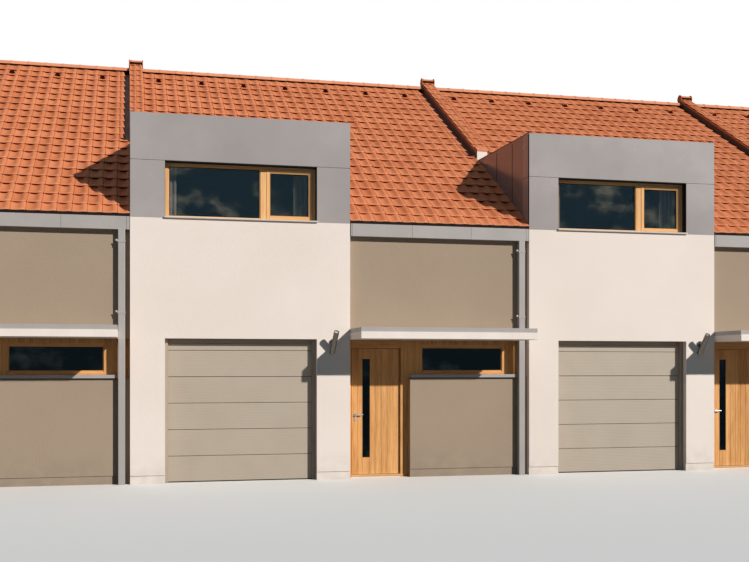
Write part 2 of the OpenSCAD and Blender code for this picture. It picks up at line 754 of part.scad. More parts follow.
module pipe_bracket(z) difference() {
    block(pipe_x0 - bracket_t, pipe_x0 + pipe_w + bracket_t, -bracket_t, recess_in, z, z + bracket_h);
    block(pipe_x0, pipe_x0 + pipe_w, 0, pipe_d, z - over, z + bracket_h + over);
}

module pipe_brackets() color(metal_c) seat() each_house() both_sides()
    for (z = [lintel_h + canopy_t + trim_h + bracket_in, gutter_foot - bracket_in]) pipe_bracket(z);

// The slab has a drip groove under its front edge.
module canopies() color(white_c) seat() each_house() difference() {
    block(bay_w, pipe_x0, -canopy_out, recess_in, lintel_h, lintel_h + canopy_t);
    block(bay_w + drip_in, pipe_x0 - drip_in, drip_in - canopy_out, drip_in + drip - canopy_out,
        lintel_h - over, lintel_h + drip);
}

module canopy_trims() color(metal_c) seat() each_house()
    block(bay_w, pipe_x0, trim_in - canopy_out, recess_in, lintel_h + canopy_t, lintel_h + canopy_t + trim_h);

module garage_frames() color(door_c) seat() each_house() difference() {
    block(opening_x, opening_x + opening_w, garage_in, garage_in + garage_frame_t, 0, garage_h);
    block(opening_x + garage_post, opening_x + opening_w - garage_post, garage_in - over,
        garage_in + garage_frame_t + over, -over, garage_h - garage_head);
}

section_x0 = opening_x + garage_post;
section_x1 = opening_x + opening_w - garage_post;
sections_top = garage_h - garage_head - filler_h;
section_pitch = sections_top / section_n;

// A section's edges are bevelled. Its rounded tongue reaches into a groove in the one above it.
module section_profile(h, tongue, groove) {
    difference() {
        polygon([[0, section_bevel], [section_bevel, 0], [section_t, 0], [section_t, h],
            [section_bevel, h], [0, h - section_bevel]]);
        if (groove) translate([section_t / 2, -section_joint]) circle(tongue_r + tongue_gap, $fn = 32);
    }
    if (tongue) translate([section_t / 2, h]) circle(tongue_r, $fn = 32);
}

module garage_doors() color(door_c) seat() each_house() along_row(section_x0, section_x1)
    translate([garage_in + section_in, 0]) {
        for (i = [0 : section_n - 1])
            translate([0, i * section_pitch]) section_profile(section_pitch - section_joint, true, i > 0);
        translate([0, sections_top]) section_profile(filler_h, false, true);
    }

// The lamp's tube is open down to a lens inside each end.
module wall_lamp() {
    translate([0, -lamp_out, lamp_z]) rotate([lamp_lean, 0, 0]) difference() {
        cylinder(d = lamp_d, h = lamp_len, center = true, $fn = 32);
        for (z = [-lamp_len / 2 - over, lamp_len / 2 - lens_in])
            translate([0, 0, z]) cylinder(d = lamp_d - 2 * lamp_wall, h = lens_in + over, $fn = 32);
    }
    translate([0, 0, lamp_z]) rotate([90, 0, 0]) cylinder(d = lamp_arm_d, h = lamp_out, $fn = 24);
    translate([0, 0, lamp_z]) rotate([90, 0, 0]) cylinder(d = lamp_plate_d, h = lamp_plate_t, $fn = 32);
}

module wall_lamps() color(metal_c) seat() each_house() translate([bay_w - lamp_x, 0, 0]) wall_lamp();

// Entrance doors: each leaf turns inwards about three hinges on its right edge. The lower half of
// a hinge's barrel sits on the frame's plate, and the upper half on the leaf's.
module hinge_half(z, side) translate([hinge_x, hinge_y, z]) {
    cylinder(d = hinge_d, h = hinge_h, $fn = 24);
    mirror([side, 0, 0]) translate([0, -hinge_out, 0]) cube([hinge_plate, hinge_plate_t, hinge_h]);
}

module door_hinges() color(metal_c) seat() each_house() for (z = hinge_levels) hinge_half(z, 0);

module door_leaf(i) color(timber_c) seat() translate([i * house_w, 0, 0]) difference() {
    block(leaf_x, leaf_x + leaf_w, leaf_y, leaf_y + leaf_t, leaf_z, leaf_z + leaf_h);
    block(leaf_x + strip_x, leaf_x + strip_x + strip_w, leaf_y - over, leaf_y + leaf_t + over,
        strip_z, strip_z + strip_h);
}

module door_glass(i) color(glass_c) seat() translate([i * house_w, 0, 0])
    block(leaf_x + strip_x, leaf_x + strip_x + strip_w, leaf_y + strip_in, leaf_y + strip_in + glass_t,
        strip_z, strip_z + strip_h);

// A round rose with a neck and a lever, and below it the lock's escutcheon on a narrow plate
module lever() {
    rotate([90, 0, 0]) cylinder(d = rose_d, h = rose_t, $fn = 32);
    rotate([90, 0, 0]) cylinder(d = lever_d, h = lever_out, $fn = 24);
    translate([0, -lever_out, 0]) rotate([0, 90, 0]) cylinder(d = lever_d, h = lever_len, $fn = 24);
    translate([0, -lever_out, 0]) sphere(d = lever_d, $fn = 24);
    translate([0, 0, -lock_drop]) rotate([90, 0, 0]) cylinder(d = rose_d, h = rose_t, $fn = 32);
    translate([-lever_d / 2, -rose_t, -lock_drop]) cube([lever_d, rose_t, lock_drop]);
}

module door_fittings(i) color(metal_c) seat() translate([i * house_w, 0, 0]) {
    translate([leaf_x + backset, leaf_y, lever_h]) lever();
    translate([leaf_x + backset, frame_back, lever_h]) mirror([0, 1, 0]) lever();
    for (z = hinge_levels) hinge_half(z + hinge_h + barrel_gap, 1);
}

ground_floors();
upper_floors();
party_walls();
bay_piers();
bay_upper_walls();
rear_apron_walls();
recess_upper_walls();
low_walls();
low_wall_sills();
timber_screens();
band_window_frames();
door_frames();
door_sills();
dormer_side_panels();
dormer_head_panels();
dormer_cheeks();
dormer_roofs();
bay_window_frames();
window_sashes();
window_glass();
window_sills();
roof_slopes();
ridge_tiles();
wall_upstands();
wall_copings();
coping_ridge_tiles();
gutters();
downpipes();
pipe_brackets();
canopies();
canopy_trims();
garage_frames();
garage_doors();
wall_lamps();
door_hinges();
door_leaf(0);  // door_leaf_1
door_glass(0);  // door_glass_1
door_fittings(0);  // door_fittings_1
door_leaf(1);  // door_leaf_2
door_glass(1);  // door_glass_2
door_fittings(1);  // door_fittings_2
door_leaf(2);  // door_leaf_3
door_glass(2);  // door_glass_3
door_fittings(2);  // door_fittings_3
door_leaf(3);  // door_leaf_4
door_glass(3);  // door_glass_4
door_fittings(3);  // door_fittings_4
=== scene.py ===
import math
import random

import bmesh
import bpy
from mathutils import Matrix, Vector


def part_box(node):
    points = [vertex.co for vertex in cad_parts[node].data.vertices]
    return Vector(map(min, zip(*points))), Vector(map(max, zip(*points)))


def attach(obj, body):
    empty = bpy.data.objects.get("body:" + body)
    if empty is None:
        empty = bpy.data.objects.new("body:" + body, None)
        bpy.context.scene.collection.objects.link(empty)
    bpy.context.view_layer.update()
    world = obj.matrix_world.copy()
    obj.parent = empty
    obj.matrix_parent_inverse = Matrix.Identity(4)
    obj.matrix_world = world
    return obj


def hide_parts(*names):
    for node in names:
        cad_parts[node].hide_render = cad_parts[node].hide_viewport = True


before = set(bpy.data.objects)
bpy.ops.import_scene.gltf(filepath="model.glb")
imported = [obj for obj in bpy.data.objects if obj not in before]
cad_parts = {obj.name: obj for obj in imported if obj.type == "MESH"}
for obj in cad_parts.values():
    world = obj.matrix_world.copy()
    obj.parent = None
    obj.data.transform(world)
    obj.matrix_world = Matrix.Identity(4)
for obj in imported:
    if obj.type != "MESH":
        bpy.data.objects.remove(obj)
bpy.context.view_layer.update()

# The view: the row stands on a wide pale floor and is seen from the street, from in front of the
# second house's left side. The camera is level, and its lens is shifted up to take in the roofs.
scene = bpy.context.scene
scene.view_settings.view_transform = "Standard"
camera = bpy.data.objects.new("street_camera", bpy.data.cameras.new("street_camera"))
scene.collection.objects.link(camera)
camera.location = (-6.602, -22.505, 1.80)
camera.rotation_euler = (math.radians(90), 0, math.radians(-13.19))
camera.data.sensor_width = 36
camera.data.lens = 50.23
camera.data.shift_y = 0.1143
scene.camera = camera


# The light: one broad sun lamp, low from the front right, and an even soft world. The floor and
# the world are pale to the eye, in metal and in glass.
class Wire:
    """One socket of a finish's nodes. Arithmetic on wires adds the Math nodes for it."""

    def __init__(self, owner, socket=None):
        self.owner = owner
        self.socket = socket

    def node(self, kind, settings=None, inputs=None, out=0):
        """Adds a node: first its settings, then its sockets' values or wires."""
        made = self.owner.node_tree.nodes.new(kind)
        for name, value in (settings or {}).items():
            setattr(made, name, value)
        for name, value in (inputs or {}).items():
            if isinstance(value, Wire):
                self.owner.node_tree.links.new(value.socket, made.inputs[name])
            else:
                made.inputs[name].default_value = value
        return Wire(self.owner, made.outputs[out] if made.outputs else made)

    def beside(self, name):
        """Another output of the same node."""
        return Wire(self.owner, self.socket.node.outputs[name])

    def maths(self, operation, *values):
        return self.node("ShaderNodeMath", {"operation": operation}, dict(enumerate(values)))

    def __add__(self, other):
        return self.maths("ADD", self, other)

    __radd__ = __add__

    def __mul__(self, other):
        return self.maths("MULTIPLY", self, other)

    __rmul__ = __mul__

    def __truediv__(self, other):
        return self.maths("DIVIDE", self, other)

    def fade(self, low, high):
        """0 at low, 1 at high, and even in between."""
        return self.node("ShaderNodeMapRange", {}, {"Value": self, "From Min": low, "From Max": high})

    def stretched(self, x, y, z):
        return self.node("ShaderNodeVectorMath", {"operation": "MULTIPLY"}, {0: self, 1: (x, y, z)})

    def axis(self, name):
        return self.node("ShaderNodeSeparateXYZ", {}, {0: self}, name)

    def noise(self, scale, detail=2.0, rough=0.5):
        return self.node("ShaderNodeTexNoise", {}, {"Vector": self, "Scale": scale, "Detail": detail,
                                                    "Roughness": rough})

    def mix(self, first, second, share, how="MIX"):
        """A colour between two colours."""
        return self.node("ShaderNodeMix", {"data_type": "RGBA", "blend_type": how},
                         {0: share, 6: first, 7: second}, 2)

    def finished(self, colour, roughness, relief=None, depth=0.001, gloss=0.5, **fixed):
        """Closes a finish with its shader and, where it has one, its relief in metres."""
        inputs = {"Base Color": colour, "Roughness": roughness, "Specular IOR Level": gloss, **fixed}
        if relief is not None:
            inputs["Normal"] = self.node("ShaderNodeBump", {}, {"Height": relief, "Distance": depth,
                                                                "Strength": 1.0})
        shader = self.node("ShaderNodeBsdfPrincipled", {}, inputs)
        self.node("ShaderNodeOutputMaterial", {}, {"Surface": shader})
        return self.owner


def new_finish(name):
    """An empty finish, as the wire of the place on the piece in metres."""
    finish = bpy.data.materials.new(name)
    finish.use_nodes = True
    finish.node_tree.nodes.clear()
    return Wire(finish).node("ShaderNodeTexCoord", out="Object")


def seen(wire):
    """1 where the eye, metal or glass looks at what is shaded, 0 where it only lights others."""
    ray = wire.node("ShaderNodeLightPath", out="Is Camera Ray")
    return ray.maths("MINIMUM", ray + ray.beside("Is Glossy Ray") + ray.beside("Is Transmission Ray"), 1.0)


sun_side = math.radians(37.8)
sun_height = math.radians(28.7)
sun_level = 3.84
world_level = 0.15
floor_bounce = 0.10
to_sun = Vector((math.sin(sun_side) * math.cos(sun_height), -math.cos(sun_side) * math.cos(sun_height),
                 math.sin(sun_height)))
sun = bpy.data.objects.new("sun_lamp", bpy.data.lights.new("sun_lamp", "SUN"))
scene.collection.objects.link(sun)
sun.data.energy = sun_level
sun.data.angle = math.radians(1.2)
sun.data.color = (1.0, 0.97, 0.93)
sun.rotation_euler = to_sun.to_track_quat("Z", "Y").to_euler()

world = bpy.data.worlds.new("studio_world")
scene.world = world
world.use_nodes = True
world.node_tree.nodes.clear()
eye = seen(Wire(world))
backdrop = eye.node("ShaderNodeBackground", {}, {
    "Color": eye.mix((0.38, 0.71, 1.0, 1), (1, 1, 1, 1), eye),
    "Strength": world_level + (1 - world_level) * eye})
eye.node("ShaderNodeOutputWorld", {}, {"Surface": backdrop})

floor_mesh = bmesh.new()
bmesh.ops.create_grid(floor_mesh, x_segments=1, y_segments=1, size=160)
floor_data = bpy.data.meshes.new("floor")
floor_mesh.to_mesh(floor_data)
floor_mesh.free()
floor = bpy.data.objects.new("floor", floor_data)
scene.collection.objects.link(floor)
place = new_finish("pale_floor")
floor_data.materials.append(place.finished(
    place.mix((floor_bounce,) * 3 + (1,), (0.82, 0.81, 0.79, 1), seen(place)), 0.9))


# Floors: a ground slab and an upper floor of cast concrete run from wall to wall in each house.
# Their tops are power-floated and faintly clouded.
def dress(finish, *nodes):
    """Gives nodes of the frame their finish."""
    for name in nodes:
        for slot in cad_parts[name].material_slots:
            slot.material = finish


def tint(red, green, blue):
    """A colour as it shows on a screen, in the renderer's own values."""
    return tuple(((c / 255 + 0.055) / 1.055) ** 2.4 for c in (red, green, blue)) + (1.0,)


place = new_finish("floated_concrete")
cloud = place.noise(0.9, 4, 0.6)
dress(place.finished(place.mix(tint(150, 147, 142), tint(176, 173, 168), cloud), 0.75,
                     place.noise(70, 3) + cloud, 0.002, 0.3), "ground_floors", "upper_floors")


# White walls: masonry under a fine white mineral render with a sanded face. It is a little
# greyer where rain splashes the plinth, and faintly clouded where the coat dried.
def rendered(name, colour, shade, splash):
    """A sanded mineral render in a colour, clouded by a shade and soiled at its foot."""
    place = new_finish(name)
    height = place.axis("Z")
    cloud = place.noise(0.55, 3, 0.55).fade(0.35, 0.7)
    soil = height.fade(0.5, 0.02) * place.noise(5, 4).fade(0.35, 0.75) * 0.7
    grain = place.noise(220, 3, 0.7)
    colour = place.mix(place.mix(colour, shade, cloud * 0.8), splash, soil)
    colour = place.mix(colour, shade, grain.fade(0.62, 0.8) * 0.4)
    return place.finished(colour, 0.88, grain + place.noise(45, 2) * 0.6, 0.0035, 0.12)


white_render = rendered("white_render", tint(246, 232, 221), tint(240, 224, 213), tint(205, 197, 186))
dress(white_render, "party_walls", "bay_piers", "bay_upper_walls", "rear_apron_walls")

# Recess walls: the wall above the entrance and the low wall beside the door have the same render
# in taupe.
taupe_render = rendered("taupe_render", tint(172, 152, 131), tint(164, 144, 124), tint(146, 132, 116))
dress(taupe_render, "recess_upper_walls", "low_walls")


# Low wall sills: folded aluminium in light grey, powder coated, laid on a black seal on the low
# wall with a turned-down nose. The seal's black front also stands for the shade under the nose:
# painted shade.
def coated_metal(name, colour, roughness=0.45):
    """Powder-coated sheet metal: a fine orange peel and a faint film of dust."""
    place = new_finish(name)
    dust = place.noise(2.3, 5, 0.6).fade(0.4, 0.75)
    dusty = tuple(c * 0.86 for c in colour[:3]) + (1,)
    return place.finished(place.mix(colour, dusty, dust * 0.7), roughness + dust * 0.12,
                          place.noise(400, 2), 0.0003, 0.3)


def bar(bm, x, y, z, ease=0.003, finish=0):
    """A squared length between two corners, with eased edges."""
    verts = bmesh.ops.create_cube(bm, size=1)["verts"]
    bmesh.ops.scale(bm, vec=(x[1] - x[0], y[1] - y[0], z[1] - z[0]), verts=verts)
    bmesh.ops.translate(bm, vec=((x[0] + x[1]) / 2, (y[0] + y[1]) / 2, (z[0] + z[1]) / 2), verts=verts)
    for face in {f for v in verts for f in v.link_faces}:
        face.material_index = finish
    if ease:
        verts = bmesh.ops.bevel(bm, geom=list({e for v in verts for e in v.link_edges}), offset=ease,
                                segments=1, profile=0.5, affect="EDGES", material=-1)["verts"]
    return verts


def to_rear(bm, geom=None):
    """Turns what is given, or all that is there, over to the rear of one house."""
    geom = geom or bm.verts[:] + bm.edges[:] + bm.faces[:]
    verts = [g for g in geom if isinstance(g, bmesh.types.BMVert)]
    bmesh.ops.scale(bm, vec=(1, -1, 1), verts=verts)
    bmesh.ops.translate(bm, vec=(0, house_depth, 0), verts=verts)
    bmesh.ops.reverse_faces(bm, faces=[g for g in geom if isinstance(g, bmesh.types.BMFace)])


def along(bm, count):
    """Repeats what is there once a house, and moves it all into the row's frame."""
    first = bm.verts[:] + bm.edges[:] + bm.faces[:]
    for i in range(1, count):
        made = bmesh.ops.duplicate(bm, geom=first)["geom"]
        bmesh.ops.translate(bm, vec=(i * house_step, 0, 0),
                            verts=[g for g in made if isinstance(g, bmesh.types.BMVert)])
    bmesh.ops.translate(bm, vec=(row_left, bay_face, 0), verts=bm.verts)


def piece(name, bm, finishes, stands_for=(), body="root", crease=30):
    """Makes a piece of a mesh, rides it on its body, and hides the nodes of the frame that it stands for."""
    mesh = bpy.data.meshes.new(name)
    for face in bm.faces:
        face.smooth = True
    for edge in bm.edges if crease else ():
        edge.smooth = edge.calc_face_angle(math.pi) < math.radians(crease)
    bm.to_mesh(mesh)
    bm.free()
    made = bpy.data.objects.new(name, mesh)
    scene.collection.objects.link(made)
    for finish in finishes:
        mesh.materials.append(finish)
    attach(made, body)
    if stands_for:
        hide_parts(*stands_for)
    return made


def join(target, *others):
    """Adds other meshes to one."""
    for other in others:
        spare = bpy.data.meshes.new("spare")
        other.to_mesh(spare)
        other.free()
        target.from_mesh(spare)
        bpy.data.meshes.remove(spare)


houses = 4
house_step = 6.47
house_depth = 13.1
row_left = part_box("party_walls")[0].x
bay_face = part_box("bay_piers")[0].y
light_metal = coated_metal("light_grey_metal", tint(174, 167, 163))
place = new_finish("black_rubber")
rubber = place.finished(place.mix(tint(20, 18, 17), tint(34, 31, 29), place.noise(30, 3)), 0.7, gloss=0.1)
sill_face, sill_back = 0.071, 0.230
sill_foot, sill_top = 1.611, 1.674
sill_seal = 0.010
sill_right = 6.279
bm = bmesh.new()
for side, left in (("front", 4.454), ("rear", 3.426)):
    one = bmesh.new()
    bar(one, (left, sill_right), (sill_face, sill_back), (sill_foot + sill_seal, sill_top), 0.003)
    # Painted shade: the seal's black front, just behind the sill's face, draws the dark line under the nose.
    bar(one, (left + 0.004, sill_right - 0.004), (sill_face + 0.006, sill_back),
        (sill_foot, sill_foot + sill_seal), 0, 1)
    if side == "rear":
        to_rear(one)
    join(bm, one)
along(bm, houses)
piece("low_wall_sill_sheets", bm, [light_metal, rubber], ["low_wall_sills"])


# Timber screens and band windows: oiled larch boards fill the recess above the low wall, round a
# long window framed in the same timber, with a bead round its pane.
def timber(name, along, board=0.0, light=(242, 184, 118), dark=(190, 128, 70)):
    """Oiled larch: long grain along an axis, growth bands, and boards that differ in tone."""
    place = new_finish(name)
    across = [36.0, 36.0, 36.0]
    across["XYZ".index(along)] = 1.7
    grain = place.stretched(*across).noise(2.2, 6, 0.62)
    band = place.stretched(*[c / 9 for c in across]).noise(3.0, 3, 0.5)
    share = grain.fade(0.36, 0.70) * 0.6 + band.fade(0.42, 0.62) * 0.35
    if board:
        cell = place.maths("FLOOR", place.axis("X") / board)
        share = share + place.node("ShaderNodeTexWhiteNoise", {"noise_dimensions": "1D"}, {"W": cell}) * 0.22
    return place.finished(place.mix(tint(*light), tint(*dark), share), 0.5, grain, 0.0012, 0.2)


def ring(bm, x, y, z, width, ease=0.003, upright=0, level=1):
    """Four bars round an opening: the uprights run through, the rails stand between them."""
    bar(bm, (x[0], x[0] + width), y, z, ease, upright)
    bar(bm, (x[1] - width, x[1]), y, z, ease, upright)
    bar(bm, (x[0] + width, x[1] - width), y, (z[0], z[0] + width), ease, level)
    bar(bm, (x[0] + width, x[1] - width), y, (z[1] - width, z[1]), ease, level)


def both_sides(bm):
    """Repeats one house's front at its rear."""
    to_rear(bm, bmesh.ops.duplicate(bm, geom=bm.verts[:] + bm.edges[:] + bm.faces[:])["geom"])


def repeat(bm):
    """Repeats one house's front at its rear and from house to house, in the row's frame."""
    both_sides(bm)
    along(bm, houses)


timber_upright = timber("timber_upright", "Z")
timber_level = timber("timber_level", "X")
timber_boards = timber("timber_boards", "Z", 0.11)
dress(timber_boards, "timber_screens")

band_left, band_right = 4.638, 6.121
band_low, band_high = 1.684, 2.159
band_face = 0.234
band_back = 0.296
band_bar = 0.043
bead = 0.013
pane_depth = 0.030
glass_t = 0.024
light_x = (band_left + band_bar, band_right - band_bar)
light_z = (band_low + band_bar, band_high - band_bar)
bm = bmesh.new()
ring(bm, (band_left, band_right), (band_face, band_back), (band_low, band_high), band_bar)
ring(bm, light_x, (band_face + 0.014, band_face + pane_depth), light_z, bead, 0.004)
bar(bm, light_x, (band_face + pane_depth, band_face + pane_depth + glass_t), light_z, 0, 2)
repeat(bm)


def glazing(name, clear, painted_reflection, solid):
    """Dark sun-control glass: a faint mirror, with soft pale blotches of painted reflection that stand for
    reflected clouds.
    """
    place = new_finish(name)
    # Painted reflection: pale blotches in the mirror's colour stand for clouds reflected in the pane.
    cloud = place.stretched(1, 1, 1.5).noise(1.3, 10, 0.68).fade(0.50, 0.65)
    return place.finished(place.mix(clear + (1,), painted_reflection + (1,), cloud), 0.03, Metallic=1.0, Alpha=solid)


glass = glazing("dark_glass", (0.004, 0.007, 0.009), (0.018, 0.023, 0.023), 0.9)
piece("band_window_timber", bm, [timber_upright, timber_level, glass], ["band_window_frames"])


# Entrances: a larch frame of two jambs, a side post and a head round an inward-opening boarded
# leaf. The leaf is a core with upright boards on both faces and beads round its glass strip.
frame_face, frame_back = 0.230, 0.315
leaf_left, leaf_right = 3.501, 4.296
leaf_low, leaf_high = 0.050, 2.095
leaf_face, leaf_back = 0.255, 0.315
board_t = 0.012
board_gap = 0.0015
strip_left, strip_right = 3.691, 3.795
strip_low, strip_high = 0.333, 1.913
post_gap = 0.0015
bay_right = 3.425
head_low, head_high = 2.101, 2.228
bm = bmesh.new()
for left, right in ((bay_right, 3.490), (4.302, 4.366), (4.366 + post_gap, 4.448)):
    bar(bm, (left, right), (frame_face, frame_back), (0, head_high), 0.004)
bar(bm, (3.490, 4.302), (frame_face, frame_back), (head_low, head_high), 0.004, 1)
# Painted shade: a black strip on the frame's face beside the hinge-side gap stands for the gap's shadow.
bar(bm, (4.3025, 4.3145), (frame_face - 0.0015, frame_face + 0.001), (0.05, 2.10), 0, 2)
bar(bm, (3.492, 4.300), (frame_face - 0.010, frame_face - 0.001), (0.018, 0.046), 0.002, 1)
along(bm, houses)
piece("entrance_frames", bm, [timber_upright, timber_level, rubber], ["door_frames"])

place = new_finish("brushed_steel")
brush = place.stretched(60, 60, 4).noise(6, 3)
steel = place.finished(place.mix(tint(208, 205, 200), tint(168, 164, 158), brush), 0.2 + brush * 0.2,
                       brush, 0.0002, Metallic=1.0)
dress(steel, "door_hinges")
dress(coated_metal("white_metal", tint(246, 232, 214)), "door_sills")

seal = 0.011
door_bead = 0.009
slot_left, slot_right = strip_left - seal, strip_right + seal
slot_low, slot_high = strip_low - seal, strip_high + seal
edges = [leaf_left, leaf_left + 0.095, slot_left, slot_right, 3.895, 3.995, 4.095, 4.195, leaf_right]
for n in (1, 2, 3, 4):
    bm = bmesh.new()
    core = (leaf_face + board_t, leaf_back - board_t)
    inset = 0.001
    bar(bm, (leaf_left + inset, strip_left), core, (leaf_low + inset, leaf_high - inset), 0)
    bar(bm, (strip_right, leaf_right - inset), core, (leaf_low + inset, leaf_high - inset), 0)
    bar(bm, (strip_left, strip_right), core, (leaf_low + inset, strip_low), 0)
    bar(bm, (strip_left, strip_right), core, (strip_high, leaf_high - inset), 0)
    for face in ((leaf_face, leaf_face + board_t), (leaf_back - board_t, leaf_back)):
        for left, right in zip(edges, edges[1:]):
            spans = [(leaf_low, leaf_high)]
            if left == slot_left:
                spans = [(leaf_low, slot_low), (slot_high, leaf_high)]
            for span in spans:
                bar(bm, (left + board_gap / 2, right - board_gap / 2), face, span, 0.003)
    bmesh.ops.translate(bm, vec=(row_left + (n - 1) * house_step, bay_face, 0), verts=bm.verts)
    piece(f"door_boards_{n}", bm, [timber_boards], [f"door_leaf_{n}"], f"door_{n}")
    bm = bmesh.new()
    for face in (leaf_face - 0.004, leaf_back - 0.001):
        ring(bm, (slot_left - door_bead, slot_right + door_bead), (face, face + 0.005),
             (slot_low - door_bead, slot_high + door_bead), door_bead, 0.002)
    for face in (leaf_face + 0.004, leaf_back - board_t):
        ring(bm, (slot_left, slot_right), (face, face + 0.008), (slot_low, slot_high), seal, 0, 2, 2)
    bmesh.ops.translate(bm, vec=(row_left + (n - 1) * house_step, bay_face, 0), verts=bm.verts)
    piece(f"door_beads_{n}", bm, [timber_upright, timber_level, rubber], body=f"door_{n}")
    dress(glass, f"door_glass_{n}")
    dress(steel, f"door_fittings_{n}")


# Garage doors: five insulated steel sections with rounded edges fold up behind two steel posts and
# a head. They are powder coated in taupe, with rubber in the joints and under the lowest section.
garage_taupe = new_finish("garage_taupe")
ribs = garage_taupe.maths("SINE", garage_taupe.axis("Z") * (2 * math.pi / 0.025))
dust = garage_taupe.noise(1.9, 5, 0.6).fade(0.4, 0.75)
garage_taupe = garage_taupe.finished(
    garage_taupe.mix(tint(182, 167, 149), tint(172, 157, 139), dust * 0.6 + ribs * 0.12), 0.5,
    ribs + garage_taupe.noise(300, 2) * 0.5, 0.0004)
door_left, door_right = 0.572, 2.837
door_face, door_back = 0.162, 0.200
post = 0.050
post_face, post_back = 0.104, 0.208
garage_head = 2.235
sections = 5
sections_top = 2.056
section_step = sections_top / sections
section_joint = 0.006
foot_seal = 0.014
filler_top = 2.160
bm = bmesh.new()
for n in range(sections):
    low = n * section_step
    foot = foot_seal if n == 0 else 0
    top = low + section_step - section_joint
    bar(bm, (door_left, door_right), (door_face, door_back), (low + foot, top), 0.004)
    bar(bm, (door_left + 0.01, door_right - 0.01), (door_face + 0.012, door_back - 0.006),
        (top - 0.002, low + section_step + 0.002), 0, 1)
bar(bm, (door_left, door_right), (door_face + 0.002, door_back - 0.002), (0, foot_seal), 0.002, 1)
bar(bm, (door_left, door_right), (door_face, door_back), (sections_top, filler_top), 0.004)
along(bm, houses)
piece("garage_door_sections", bm, [garage_taupe, rubber], ["garage_doors"])

bm = bmesh.new()
for left in (door_left - post, door_right):
    bar(bm, (left, left + post), (post_face, post_back), (0, garage_head), 0.002)
bar(bm, (door_left, door_right), (door_face + 0.010, post_back), (filler_top + 0.002, garage_head), 0.002)
along(bm, houses)
piece("garage_posts", bm, [coated_metal("post_taupe", tint(172, 156, 139))], ["garage_frames"])


# Dormers: flat smooth panels on rails clad the box, with fine joints, dark strips behind those of
# the cheeks. A dark sheet-metal roof closes it, with a capping along both cheeks.
def ease(width, *nodes):
    """Joins the touching corners of nodes of the frame and rounds their edges a little."""
    for name in nodes:
        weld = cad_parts[name].modifiers.new("joined_corners", "WELD")
        weld.merge_threshold = 0.0002
        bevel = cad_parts[name].modifiers.new("eased_edges", "BEVEL")
        bevel.width = width
        bevel.segments = 2
        bevel.limit_method = "ANGLE"


place = new_finish("grey_panel")
cloud = place.noise(0.7, 4, 0.6).fade(0.35, 0.7)
panel = place.finished(place.mix(tint(157, 149, 147), tint(168, 160, 157), cloud), 0.2 + cloud * 0.1,
                       place.noise(30, 4), 0.0003)
dark_metal = coated_metal("dark_metal", tint(74, 66, 63), 0.55)
dress(panel, "dormer_side_panels", "dormer_head_panels")
ease(0.004, "dormer_side_panels", "dormer_head_panels")
# Painted shade: the cheeks are the same cladding as the front panels, coloured darker for their side turned
# from the light, and smoother.
place = new_finish("cheek_panel_painted_shade")
cloud = place.noise(0.7, 4, 0.6).fade(0.35, 0.7)
dress(place.finished(place.mix(tint(136, 126, 124), tint(146, 136, 134), cloud), 0.17 + cloud * 0.05,
                     place.noise(30, 4), 0.0003), "dormer_cheeks")
dress(dark_metal, "dormer_roofs")
dormer_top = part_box("dormer_cheeks")[1].z - 0.03
bm = bmesh.new()
for x in (0.0, bay_right):
    for y, foot in ((0.790, 4.56), (1.580, 5.04)):
        bar(bm, (x - 0.002, x + 0.002), (y - 0.010, y + 0.010), (foot, dormer_top - 0.03), 0)
    bar(bm, (x - 0.002, x + 0.002), (0.006, 0.046), (4.12, dormer_top - 0.02), 0)
repeat(bm)
piece("cheek_joints", bm, [rubber])


# Bay windows: larch frames with a fixed light on the left and a sash on the right, a bead and a
# black gasket round each pane, a pale metal sill, and dark sheet on the reveals, whose black also
# stands for the reveals' shade (painted shade).
open_left, open_right = 0.522, 2.887
window_bar = 0.053
low_bar = 0.012
window_face, window_back = 0.127, 0.200
mullion_left, mullion_right = 2.005, 2.099
sash_face, sash_back = 0.119, 0.190
sash_bar = 0.048
gasket = 0.007
lining = 0.004
lining_head = 0.014


def window(bm, low, high):
    """One window between its sill and the head of its opening, with dark sheet on the reveal, whose black is
    also painted shade.
    """
    inner = (low + low_bar, high - window_bar)
    depth = (window_face, window_back)
    reveal = (0.004, window_face)
    # Painted shade: the black sheet on the reveals also stands for their shade.
    bar(bm, (open_left, open_left + lining), reveal, (low, high - lining_head), 0, 2)
    bar(bm, (open_right - lining, open_right), reveal, (low, high - lining_head), 0, 2)
    bar(bm, (open_left, open_right), reveal, (high - lining_head, high), 0, 2)
    bar(bm, (open_left, open_left + window_bar), depth, (low, high))
    bar(bm, (open_right - window_bar, open_right), depth, (low, high))
    bar(bm, (open_left + window_bar, open_right - window_bar), depth, (low, inner[0]), 0.003, 1)
    bar(bm, (open_left + window_bar, open_right - window_bar), depth, (inner[1], high), 0.003, 1)
    bar(bm, (mullion_left, mullion_right), depth, inner)
    ring(bm, (mullion_right, open_right - window_bar), (sash_face, sash_back), inner, sash_bar, 0.004)
    for left, right, face, edge in ((open_left + window_bar, mullion_left, window_face, 0.0),
                                    (mullion_right, open_right - window_bar, sash_face, sash_bar)):
        x = (left + edge, right - edge)
        z = (inner[0] + edge, inner[1] - edge)
        ring(bm, x, (face + 0.010, face + pane_depth - gasket), z, bead, 0.004)
        ring(bm, (x[0] + bead, x[1] - bead), (face + pane_depth - gasket, face + pane_depth),
             (z[0] + bead, z[1] - bead), gasket, 0, 2, 2)
        bar(bm, x, (face + pane_depth, face + pane_depth + glass_t), z, 0, 3)


